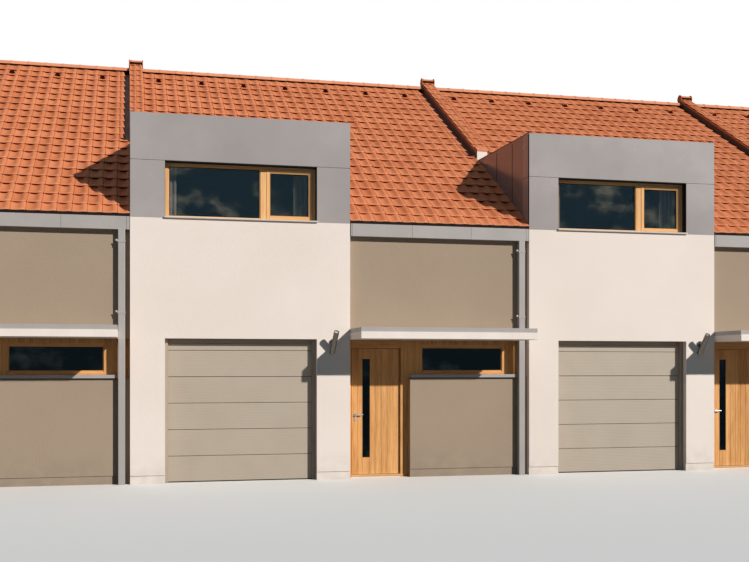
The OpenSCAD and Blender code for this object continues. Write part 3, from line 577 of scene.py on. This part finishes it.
bm = bmesh.new()
window(bm, 4.117, 4.970)
both_sides(bm)
lower = bmesh.new()
window(lower, 0.932, 2.235)
to_rear(lower)
join(bm, lower)
along(bm, houses)
pale, brown = (252, 198, 136), (212, 152, 92)
window_glass = glazing("window_glass", (0.018, 0.036, 0.048), (0.150, 0.155, 0.125), 0.42)
window_upright = timber("window_timber_upright", "Z", 0, pale, brown)
window_level = timber("window_timber_level", "X", 0, pale, brown)
piece("bay_window_timber", bm, [window_upright, window_level, rubber, window_glass],
      ["bay_window_frames", "window_sashes", "window_glass"])
dress(coated_metal("sill_metal", tint(214, 202, 192)), "window_sills")
ease(0.004, "window_sills")


# Curtains: unbleached cotton hangs in soft folds from a steel rail at both sides of the front upper
# windows. The rail stands off the wall over the window on two small brackets.
def turned(bm, outline, turn=360.0, steps=24, finish=0):
    """Turns a closed outline, as places along X and radii, about the X axis; returns its verts."""
    before = set(bm.verts)
    verts = [bm.verts.new((a, 0, r)) for a, r in outline]
    edges = [bm.edges.new(pair) for pair in zip(verts, verts[1:] + verts[:1])]
    bmesh.ops.rotate(bm, verts=verts, cent=(0, 0, 0), matrix=Matrix.Rotation(math.radians(-turn / 2), 3, "X"))
    bmesh.ops.spin(bm, geom=verts + edges, cent=(0, 0, 0), axis=(1, 0, 0), angle=math.radians(turn),
                   steps=steps, use_merge=turn == 360.0)
    verts = [v for v in bm.verts if v not in before]
    faces = list({f for v in verts for f in v.link_faces})
    for face in faces:
        face.material_index = finish
    bmesh.ops.recalc_face_normals(bm, faces=faces)
    return verts


place = new_finish("curtain_cotton")
weave = place.noise(900, 2)
cloud = weave * 0.5 + place.noise(3, 3) * 0.4
cotton = place.finished(place.mix(tint(240, 236, 226), tint(222, 216, 204), cloud), 0.9, weave, 0.0003)
curtain_y, rail_z = 0.365, 5.035
curtain_drop = 1.55
fold, fold_deep = 0.075, 0.022
bm = bmesh.new()
verts = turned(bm, [(0.34, 0.001), (0.34, 0.009), (3.06, 0.009), (3.06, 0.001)], 360.0, 12)
bmesh.ops.translate(bm, vec=(0, curtain_y, rail_z), verts=verts)
for x in (0.36, 3.03):
    bar(bm, (x, x + 0.01), (0.300, curtain_y), (rail_z - 0.005, rail_z + 0.005), 0.001)
along(bm, houses)
rails = piece("curtain_rails", bm, [steel])
for n in range(houses):
    for side, left, right in (("left", 0.40, 0.71), ("right", 2.57, 2.95)):
        bm = bmesh.new()
        steps = round((right - left) / fold * 8)
        bmesh.ops.create_grid(bm, x_segments=steps, y_segments=6, size=0.5)
        for vert in bm.verts:
            u, v = vert.co.x + 0.5, 0.5 - vert.co.y
            x = left + u * (right - left)
            swing = fold_deep * (0.75 + 0.25 * v) * math.sin(2 * math.pi * u * (right - left) / fold)
            vert.co = (row_left + n * house_step + x, bay_face + curtain_y + swing,
                       rail_z - 0.010 - v * curtain_drop)
        curtain = piece(f"curtain_{side}_{n + 1}", bm, [cotton], crease=None)


# Roof decks: insulated panels under dark felt reach from eaves to ridge; the felt's near-black also
# stands for the shade in the slots and grooves under the tiles (painted shade). A black comb closes
# the eaves, its black also painted shade for the gap over the gutter, and a brown sheet is folded
# into the open gutter beside each raised wall.
party = 0.25
deck_rise = 4.105
roof_pitch = math.radians(31)
roof_thick = 0.25
recess = 0.106
eaves_lip = 0.009
ridge_y = house_depth / 2
dormer_right = bay_right
dormer_end = 2.6935
cheek_front, cheek_wide = 0.30, 0.15
side_gutter = 0.095


def deck(y, lift=0.0):
    """A place in depth and height over the deck."""
    return y, deck_rise + y * math.tan(roof_pitch) + lift


def run(bm, outline, left, right, finish=0):
    """Runs an outline of depths and heights along the row between two ends."""
    face = bm.faces.new([bm.verts.new((left, y, z)) for y, z in outline])
    made = bmesh.ops.extrude_face_region(bm, geom=[face])["geom"]
    verts = [g for g in made if isinstance(g, bmesh.types.BMVert)]
    bmesh.ops.translate(bm, vec=(right - left, 0, 0), verts=verts)
    faces = list({f for v in face.verts[:] + verts for f in v.link_faces})
    bmesh.ops.recalc_face_normals(bm, faces=faces)
    for face in faces:
        face.material_index = finish


# Painted shade: the felt's near-black also stands for the shade in the slots under the tile noses, inside the
# vent hoods, under the ridge tiles and under the caps.
place = new_finish("roof_felt")
felt = place.finished(place.mix(tint(58, 30, 20), tint(40, 22, 16), place.noise(12, 3)), 0.9,
                      place.noise(40, 2), 0.002, 0.1)
brown_metal = coated_metal("brown_metal", tint(88, 52, 42), 0.6)
bm = bmesh.new()
for left, right, front in ((party, dormer_right - cheek_wide, dormer_end),
                           (dormer_right - cheek_wide, dormer_right, cheek_front)):
    run(bm, [deck(front, -roof_thick), deck(ridge_y, -roof_thick), deck(ridge_y), deck(front)], left, right)
run(bm, [deck(0, -eaves_lip), (recess, deck_rise - eaves_lip), deck(recess, -roof_thick),
         deck(ridge_y, -roof_thick), deck(ridge_y), deck(0)], dormer_right, house_step)
# Painted shade: the comb's black also stands for the shaded gap between the tiles and the gutter.
bar(bm, (dormer_right, house_step), (0.004, 0.03), (deck_rise - 0.014, deck_rise + 0.024), 0, 2)
repeat(bm)
sheets = bmesh.new()
for n in range(houses):
    foot = 0 if n == houses - 1 else dormer_end
    right = (n + 1) * house_step
    run(sheets, [deck(foot, 0.001), deck(ridge_y, 0.001), deck(ridge_y, 0.004), deck(foot, 0.004)],
        right - side_gutter - 0.06, right, 1)
both_sides(sheets)
bmesh.ops.translate(sheets, vec=(row_left, bay_face, 0), verts=sheets.verts)
join(bm, sheets)
piece("roof_decks", bm, [felt, brown_metal, rubber], ["roof_slopes"])


# Roof tiles: fired clay pantiles with a shallow pan, a rib on the right and a raised bead on the
# left, hung on battens. The courses run up to the dormers' cheeks, and half tiles end them beside
# the raised walls.
columns = 28
tile_width = (house_step - party) / columns
tile_left = party + 0.030
gauge = 0.3675
first_nose = 0.008
second_nose = 0.270
courses = 20
dormer_back = dormer_end / math.cos(roof_pitch)
slope_end = 7.58
slope_to_house = Matrix.Translation((0, 0, deck_rise)) @ Matrix.Rotation(roof_pitch, 4, "X")

place = new_finish("clay_tile")
tone = place.node("ShaderNodeAttribute", {"attribute_name": "tone"}, {}, "Fac")
painted_highlight = place.node("ShaderNodeAttribute", {"attribute_name": "painted_highlight"}, {}, "Fac")
speck = place.noise(26, 5, 0.7)
fire = place.noise(1.3, 3)
colour = place.mix(tint(222, 138, 94), tint(198, 114, 73), tone * 0.7 + speck * 0.3)
colour = place.mix(colour, tint(186, 102, 66), fire.fade(0.5, 0.8) * 0.3)
# Painted highlight: a vertex attribute lightens the tiles' noses and raised parts, the ridge tiles and the
# caps' tops towards pale pink.
clay = place.finished(place.mix(colour, tint(250, 184, 150), painted_highlight * 0.32), 0.7, speck, 0.002, 0.12)

side_dip = -0.032
across = [(0.000, -0.019), (0.005, -0.011), (0.014, -0.010), (0.036, -0.026), (0.078, -0.034),
          (0.120, -0.030), (0.150, -0.009), (0.166, -0.001), (0.188, 0.000), (0.208, -0.005),
          (0.2215, -0.016), (0.2219, side_dip)]
clipped = 0.020
modelled_width = 0.2221


def tile_shape(name, along_tile, fall, width=modelled_width, height=1.0, taper=0.0):
    """A tile's skin: its section across, carried along from under the nose up to the head, where a
    taper makes it narrower. The corner beside the neighbour's rib is clipped off."""
    bm = bmesh.new()
    bmesh.ops.create_grid(bm, x_segments=len(across) - 1, y_segments=len(along_tile) - 1, size=0.5)
    painted_highlight = bm.verts.layers.float.new("painted_highlight")
    for vert in bm.verts:
        column = round((vert.co.x + 0.5) * (len(across) - 1))
        row = round((vert.co.y + 0.5) * (len(along_tile) - 1))
        u, dip = across[column]
        v, top, share, painted_highlight_share = along_tile[row]
        share = 1.0 if dip == side_dip else share
        if column == 0 and v < 0.03:
            u += clipped
        vert.co = (u * (width / modelled_width - taper * v), v, (top - fall * v + dip * share) * height)
        # Painted highlight: strongest on the rows at the nose and on the raised parts of the section.
        vert[painted_highlight] = painted_highlight_share * (1.0 + dip / 0.05)
    shape = bpy.data.meshes.new(name)
    bm.to_mesh(shape)
    bm.free()
    return shape


# Rows of a tile from under its nose to its head: place along it, rib height, share of the pan's
# depth, and painted highlight.
rib_top = 0.070
nose_t = 0.016
plain_rows = [(0.055, rib_top - nose_t, 0.25, 0), (0.003, rib_top - nose_t, 0.2, 0.4),
              (0.0, rib_top - 0.007, 0.2, 1), (0.006, rib_top, 0.22, 1), (0.035, rib_top, 0.35, 0.15),
              (0.09, rib_top, 0.75, 0), (0.17, rib_top, 1.0, 0), (0.40, rib_top, 1.0, 0)]
eave_rib = 0.044
eave_rows = [(0.055, eave_rib - nose_t, 0.25, 0), (0.003, eave_rib - nose_t, 0.2, 0.4),
             (0.0, eave_rib - 0.007, 0.2, 1), (0.006, eave_rib, 0.22, 1), (0.035, eave_rib, 0.35, 0.15),
             (0.11, eave_rib, 0.7, 0), (0.31, 0.060, 1.0, 0)]
plain_tile = tile_shape("plain_tile", plain_rows, nose_t / gauge)
eave_tile = tile_shape("eave_tile", eave_rows, 0.0)
top_rows = [row if row[0] < 0.1 else (0.12, rib_top, 0.9, 0) for row in plain_rows[:-1]]
top_tile = tile_shape("top_tile", top_rows + [(0.33, rib_top, 0.35, 0)], nose_t / gauge)
verge_tile = tile_shape("verge_tile", plain_rows, nose_t / gauge, taper=0.3)
random.seed(7)


def lay_tiles(bm, shape, spots):
    """Lays a copy of a tile at each spot, each with its own tone."""
    tone = bm.verts.layers.float.get("tone") or bm.verts.layers.float.new("tone")
    for spot in spots:
        start = len(bm.verts)
        bm.from_mesh(shape)
        bm.verts.ensure_lookup_table()
        value = random.random()
        for vert in bm.verts[start:]:
            vert.co += spot
            vert[tone] = value


def trim(bm, place, normal):
    """Cuts off what lies behind a plane."""
    bmesh.ops.bisect_plane(bm, geom=bm.verts[:] + bm.edges[:] + bm.faces[:], dist=1e-5,
                           plane_co=place, plane_no=normal, clear_inner=True)


beside = bmesh.new()
above = bmesh.new()
at_cheek = bmesh.new()
at_wall = bmesh.new()
at_long_wall = bmesh.new()
halves = columns - 1
half_column = tile_left + halves * tile_width
wall_start = dormer_back + 0.20
for course in range(courses + 1):
    nose = first_nose if course == 0 else second_nose + (course - 1) * gauge
    head = second_nose + course * gauge
    shape = eave_tile if course == 0 else top_tile if course == courses else plain_tile
    for bm, first, last, wanted in ((beside, 14, halves, nose < dormer_back),
                                    (above, -1, 14, head > dormer_back),
                                    (above, 14, halves, nose >= dormer_back)):
        if wanted:
            lay_tiles(bm, shape, [Vector((tile_left + c * tile_width, nose, 0)) for c in range(first, last)])
    for bm in (at_wall, at_long_wall):
        lay_tiles(bm, verge_tile if course else eave_tile,
                  [Vector((house_step - side_gutter - modelled_width, nose, 0))])
    if nose < wall_start:
        lay_tiles(at_cheek, shape, [Vector((half_column, nose, 0))])
trim(beside, (dormer_right + 0.004, 0, 0), (1, 0, 0))
trim(above, (0, dormer_back + 0.01, 0), (0, 1, 0))
trim(above, (0, slope_end, 0), (0, -1, 0))
trim(above, (party + 0.008, 0, 0), (1, 0, 0))
trim(at_cheek, (house_step - 0.003, 0, 0), (-1, 0, 0))
trim(at_cheek, (0, wall_start, 0), (0, -1, 0))
trim(at_wall, (0, wall_start, 0), (0, 1, 0))
for bm in (at_wall, at_long_wall):
    trim(bm, (half_column + 0.0015, 0, 0), (1, 0, 0))
    trim(bm, (0, slope_end, 0), (0, -1, 0))
join(above, beside)
join(at_wall, at_cheek)
slopes = []
for ending in (at_wall, at_long_wall):
    bm = above.copy()
    join(bm, ending)
    bmesh.ops.transform(bm, matrix=slope_to_house, verts=bm.verts)
    slopes.append(bpy.data.meshes.new("slope_tiles"))
    bm.to_mesh(slopes[-1])
    bm.free()
above.free()
for side in ("front", "rear"):
    for n in range(houses):
        bm = bmesh.new()
        bm.from_mesh(slopes[n == houses - 1])
        if side == "rear":
            to_rear(bm)
        bmesh.ops.translate(bm, vec=(row_left + n * house_step, bay_face, 0), verts=bm.verts)
        piece(f"roof_tiles_{side}_{n + 1}", bm, [clay], crease=None)


# Vent tiles: in the last course but one every fourth tile carries a small arched clay hood with a
# rib down its middle. Its front is closed by a capped cone of dark felt set a little inside: painted
# shade for an open, dark mouth.
vent_nose = 6.885
vent_columns = (1, 5, 9, 13, 17, 21, 25)
hood_l = 0.17


def hood(bm, radius, rise, front, finish=0):
    """Half a cone that lies up the slope, from a front of a given radius."""
    verts = bmesh.ops.create_cone(bm, segments=20, cap_ends=finish > 0, radius1=radius, radius2=radius * 0.12,
                                  depth=hood_l)["verts"]
    bmesh.ops.rotate(bm, verts=verts, cent=(0, 0, 0), matrix=Matrix.Rotation(math.radians(-90), 3, "X"))
    bmesh.ops.scale(bm, vec=(1, 1, rise), verts=verts)
    bmesh.ops.translate(bm, vec=(0, front + hood_l / 2, 0), verts=verts)
    for face in {f for v in verts for f in v.link_faces}:
        face.material_index = finish


bm = bmesh.new()
tone = bm.verts.layers.float.new("tone")
painted_highlight = bm.verts.layers.float.new("painted_highlight")
for column in vent_columns:
    one = bmesh.new()
    hood(one, 0.062, 1.35, 0.0)
    # Painted shade: a capped cone of dark felt set inside the hood's mouth stands for the shade within.
    hood(one, 0.056, 1.35, 0.016, 1)
    hood(one, 0.014, 5.0, 0.006)
    trim(one, (0, 0, 0), (0, 0, 1))
    bmesh.ops.translate(one, vec=(tile_left + (column + 0.36) * tile_width, vent_nose + 0.13, 0.028),
                        verts=one.verts)
    join(bm, one)
bmesh.ops.transform(bm, matrix=slope_to_house, verts=bm.verts)
repeat(bm)
piece("vent_hoods", bm, [clay, felt])


# Ridge tiles: half-round clay tiles, each with a collar that laps the one beside it, are screwed to
# a dark batten over the top courses. Their edges stand clear of the tiles for the air to pass; the
# batten's dark also stands for the shade in that gap (painted shade), and the tiles carry a painted
# highlight.
ridge_lift = 0.020
ridge_left, ridge_right = 0.258, 6.462
ridge_z = deck_rise + ridge_y * math.tan(roof_pitch) + ridge_lift
ridge_count = 18
ridge_step = (ridge_right - ridge_left) / ridge_count
ridge_r = 0.112
ridge_t = 0.014
collar = 0.055


def ridge_tile(bm, x, length, radius, z, turn=158):
    """One curved tile, its collar at the left, over the ridge at a height."""
    body = radius - 0.006
    verts = turned(bm, [(0, body - ridge_t), (0, radius - 0.002), (0.002, radius), (collar - 0.004, radius),
                        (collar, body), (length + 0.012, body), (length + 0.012, body - ridge_t)],
                   turn, 14)
    bmesh.ops.translate(bm, vec=(x, ridge_y, z), verts=verts)
    return verts


bm = bmesh.new()
tone = bm.verts.layers.float.new("tone")
painted_highlight = bm.verts.layers.float.new("painted_highlight")
for n in range(ridge_count):
    value = random.random()
    length = ridge_step - 0.012 * (n == ridge_count - 1)
    for vert in ridge_tile(bm, ridge_left + n * ridge_step, length, ridge_r, ridge_z):
        vert[tone] = value
        # Painted highlight: the whole ridge tile is lightened.
        vert[painted_highlight] = 1.0
# Painted shade: the batten's dark felt also stands for the shade in the gap under the ridge tiles.
bar(bm, (ridge_left, ridge_right), (ridge_y - 0.035, ridge_y + 0.035),
    (ridge_z - 0.03, ridge_z + 0.085), 0, 1)
along(bm, houses)
piece("ridge_tile_row", bm, [clay, felt], ["ridge_tiles"])


# Party-wall copings: two narrow columns of the same tiles run up each raised wall. Flanges hang down
# both sides, and a short ridge tile between two round discs closes the top.
coping_out = 0.006
upstand_rise = 0.185
coping_rise = 0.235
upstand_end = 0.015
narrow = (party + 2 * coping_out) / 2
small = narrow / modelled_width
small_tile = tile_shape("coping_tile", plain_rows, nose_t / gauge, narrow, small)
flange_t = 0.005
flange_low, flange_high = -0.022, 0.012
coping_end = ridge_y / math.cos(roof_pitch) - 0.012


def coping(bm, foot):
    """Tiles a coping's front side from its foot up, in the slope's own frame."""
    noses = [foot + course * gauge for course in range(math.ceil((coping_end - foot) / gauge))]
    spots = [Vector((-coping_out + column * narrow, nose, 0)) for nose in noses for column in (0, 1)]
    lay_tiles(bm, small_tile, spots)
    for x in (-coping_out, party + coping_out - flange_t):
        bar(bm, (x, x + flange_t), (foot + 0.004, coping_end), (flange_low, flange_high), 0)
    trim(bm, (0, coping_end, 0), (0, -1, 0))
    bmesh.ops.transform(bm, matrix=Matrix.Translation((0, 0, upstand_rise)) @ slope_to_house, verts=bm.verts)


bm = bmesh.new()
for wall in range(houses + 1):
    one = bmesh.new()
    coping(one, (dormer_end + upstand_end) / math.cos(roof_pitch) if wall < houses else first_nose)
    both_sides(one)
    bmesh.ops.translate(one, vec=(wall * house_step, 0, 0), verts=one.verts)
    join(bm, one)
bmesh.ops.translate(bm, vec=(row_left, bay_face, 0), verts=bm.verts)
piece("coping_tiles", bm, [clay], ["wall_copings"], crease=None)

end_low, end_high = 0.216, 0.241
end_right = 0.214
end_front, end_back = dormer_end - 0.012, dormer_end + 0.136
bm = bmesh.new()
tone = bm.verts.layers.float.new("tone")
painted_highlight = bm.verts.layers.float.new("painted_highlight")
for left, right, low, finish in ((0.104, end_right, end_low, 0), (-0.004, 0.100, end_low, 0),
                                 (-0.005, 0.001, 0.0, 1)):
    run(bm, [deck(end_front, low), deck(end_back, low), deck(end_back, end_high),
             deck(dormer_end - 0.006, end_high), deck(end_front, end_high - 0.008)], left, right, finish)
repeat(bm)
piece("coping_end_tiles", bm, [clay, brown_metal])

disc_r = 0.098
disc_t = 0.016
cap_r = 0.084
apex = ridge_z - ridge_lift + coping_rise - 0.018
bm = bmesh.new()
tone = bm.verts.layers.float.new("tone")
painted_highlight = bm.verts.layers.float.new("painted_highlight")
ridge_tile(bm, -coping_out, party + 2 * coping_out - 0.012, cap_r, apex, 140)
# Painted shade: a block of dark felt fills under the cap tile and stands for the shade there.
bar(bm, (-coping_out, party + coping_out), (ridge_y - 0.05, ridge_y + 0.05), (apex - 0.03, apex + 0.05), 0, 1)
for x in (-coping_out - disc_t, party + coping_out):
    disc = turned(bm, [(x, 0.004), (x, disc_r - 0.022), (x + 0.003, disc_r - 0.018),
                       (x + 0.003, disc_r - 0.006), (x + 0.006, disc_r), (x + disc_t, disc_r),
                       (x + disc_t, 0.004)], 360.0, 40)
    bmesh.ops.translate(bm, vec=(0, ridge_y, apex), verts=disc)
# Painted highlight: the top of the cap tile is lightened more than the rest.
for vert in bm.verts:
    vert[tone] = 0.8
    vert[painted_highlight] = 0.6 if vert.co.z > apex + 0.02 and 0 < vert.co.x < party else 0.1
along(bm, houses + 1)
piece("coping_caps", bm, [clay, felt], ["coping_ridge_tiles"])
dress(brown_metal, "wall_upstands")


# Eaves gutters: folded sheet-metal box gutters in lengths of about a metre butt together over
# each recess, with black seals in the joints. Their front edge is folded back into a lip, and
# plates close the ends, with a black seal against the bays that also stands for the shade in the
# gaps there (painted shade).
gutter_top, gutter_foot = 4.090, 3.890
gutter_depth = 0.106
gutter_wall = 0.008
butt = 0.004
lip = 0.022
inner = (gutter_wall, gutter_depth - gutter_wall)
trough = [(0, gutter_foot), (gutter_depth, gutter_foot), (gutter_depth, gutter_top), (inner[1], gutter_top),
          (inner[1], gutter_foot + gutter_wall), (inner[0], gutter_foot + gutter_wall),
          (inner[0], gutter_top - 0.006), (lip, gutter_top - 0.006), (lip, gutter_top), (0, gutter_top)]
joints = [3.441, 3.464, 4.455, 5.458, 6.420, 6.462]
bm = bmesh.new()
for left, right in zip(joints, joints[1:]):
    run(bm, trough, left, right - (butt if right < joints[-1] else 0))
    if right < joints[-1]:
        bar(bm, (right - 0.02, right + 0.02), (gutter_wall, gutter_wall + 0.002),
            (gutter_foot + 0.01, gutter_top - 0.01), 0, 1)
        bar(bm, (right - 0.02, right + 0.02), (gutter_wall, gutter_depth - gutter_wall),
            (gutter_foot + gutter_wall, gutter_foot + gutter_wall + 0.002), 0, 1)
for left in (joints[0], joints[-1] - gutter_wall):
    bar(bm, (left, left + gutter_wall), inner, (gutter_foot + gutter_wall, gutter_top), 0)
# Painted shade: black seals fill the gaps between the gutter ends and the bays and also stand for their
# shade.
for left, right in ((dormer_right, joints[0]), (joints[-1], house_step)):
    bar(bm, (left, right), (0.010, gutter_depth), (gutter_foot, gutter_top), 0, 1)
repeat(bm)
piece("gutter_lengths", bm, [light_metal, rubber], ["gutters"])


# Downpipes: square aluminium pipes with rounded corners drop from the gutters' right ends, each
# with an outlet collar. Two straps with bolted lugs hold each pipe to the wall.
pipe_left = 6.291
strap_levels = (2.623, 3.708)
dress(light_metal, "downpipes", "pipe_brackets")
ease(0.0015, "downpipes", "pipe_brackets")
bm = bmesh.new()
for level in strap_levels:
    verts = turned(bm, [(0, 0.001), (0, 0.0085), (0.007, 0.0095), (0.007, 0.001)], 360.0, 6)
    bmesh.ops.rotate(bm, verts=verts, cent=(0, 0, 0), matrix=Matrix.Rotation(math.radians(-90), 3, "Z"))
    bmesh.ops.translate(bm, vec=(pipe_left - 0.020, 0.018, level + 0.020), verts=verts)
    bar(bm, (pipe_left - 0.036, pipe_left - 0.004), (0.018, 0.022), (level + 0.006, level + 0.034), 0.001)
    bar(bm, (pipe_left - 0.012, pipe_left - 0.004), (0.020, 0.106), (level + 0.006, level + 0.034), 0.001)
repeat(bm)
piece("pipe_lugs", bm, [steel])


# Canopies: a thin rendered concrete slab shelters each entrance. Its rear half-height edge is
# covered by a folded metal trim.
dress(coated_metal("canopy_white", tint(243, 230, 219), 0.55), "canopies")
dress(light_metal, "canopy_trims")
ease(0.004, "canopies")
ease(0.003, "canopy_trims")


# Wall lamps: an open steel tube leans out on a short arm from a round plate, with a frosted lens
# sunk in both ends and a screw at each side of the plate.
lamp_x = 3.145
lamp_z = 2.186
lamp_lean = math.radians(35)
lamp_turn = math.radians(5)
lamp_length = 0.400
lamp_r = 0.042
lamp_out = 0.122
place = new_finish("frosted_lens")
lens = place.finished(place.mix(tint(205, 203, 196), tint(225, 222, 214), place.noise(90, 3)), 0.4)
bm = bmesh.new()
half = lamp_length / 2
turned(bm, [(-half, lamp_r - 0.004), (-half, lamp_r - 0.001), (-half + 0.001, lamp_r), (-0.012, lamp_r),
            (-0.010, lamp_r - 0.0015), (0.010, lamp_r - 0.0015), (0.012, lamp_r), (half - 0.001, lamp_r),
            (half, lamp_r - 0.001), (half, lamp_r - 0.004)], 360.0, 40)
for end in (-half + 0.022, half - 0.026):
    turned(bm, [(end, 0.001), (end, lamp_r - 0.004), (end + 0.004, lamp_r - 0.004), (end + 0.004, 0.001)],
           360.0, 40, 1)
bmesh.ops.rotate(bm, verts=bm.verts, cent=(0, 0, 0), matrix=Matrix.Rotation(math.radians(-90), 3, "Y"))
bmesh.ops.rotate(bm, verts=bm.verts, cent=(0, 0, 0), matrix=Matrix.Rotation(lamp_lean, 3, "X"))
bmesh.ops.rotate(bm, verts=bm.verts, cent=(0, 0, 0), matrix=Matrix.Rotation(lamp_turn, 3, "Y"))
bmesh.ops.translate(bm, vec=(lamp_x, -lamp_out, lamp_z), verts=bm.verts)
tube = set(bm.verts)
turned(bm, [(0, 0.002), (0, 0.055), (0.019, 0.055), (0.022, 0.051), (0.022, 0.020), (0.026, 0.020),
            (0.026, 0.0165), (lamp_out - 0.036, 0.0165), (lamp_out - 0.036, 0.002)], 360.0, 32)
for side in (-1, 1):
    screw = turned(bm, [(0.020, 0.0005), (0.020, 0.004), (0.0235, 0.003), (0.0235, 0.0005)], 360.0, 10)
    bmesh.ops.translate(bm, vec=(0, side * 0.038, 0), verts=screw)
arm = [v for v in bm.verts if v not in tube]
bmesh.ops.rotate(bm, verts=arm, cent=(0, 0, 0), matrix=Matrix.Rotation(math.radians(-90), 3, "Z"))
bmesh.ops.translate(bm, vec=(lamp_x, 0, lamp_z), verts=arm)
along(bm, houses)
place = new_finish("satin_steel")
brush = place.stretched(60, 60, 4).noise(6, 3)
satin = place.finished(place.mix(tint(132, 128, 123), tint(92, 89, 86), brush), 0.16 + brush * 0.12,
                       brush, 0.0002, Metallic=1.0)
piece("wall_lamp_tubes", bm, [satin, lens], ["wall_lamps"])
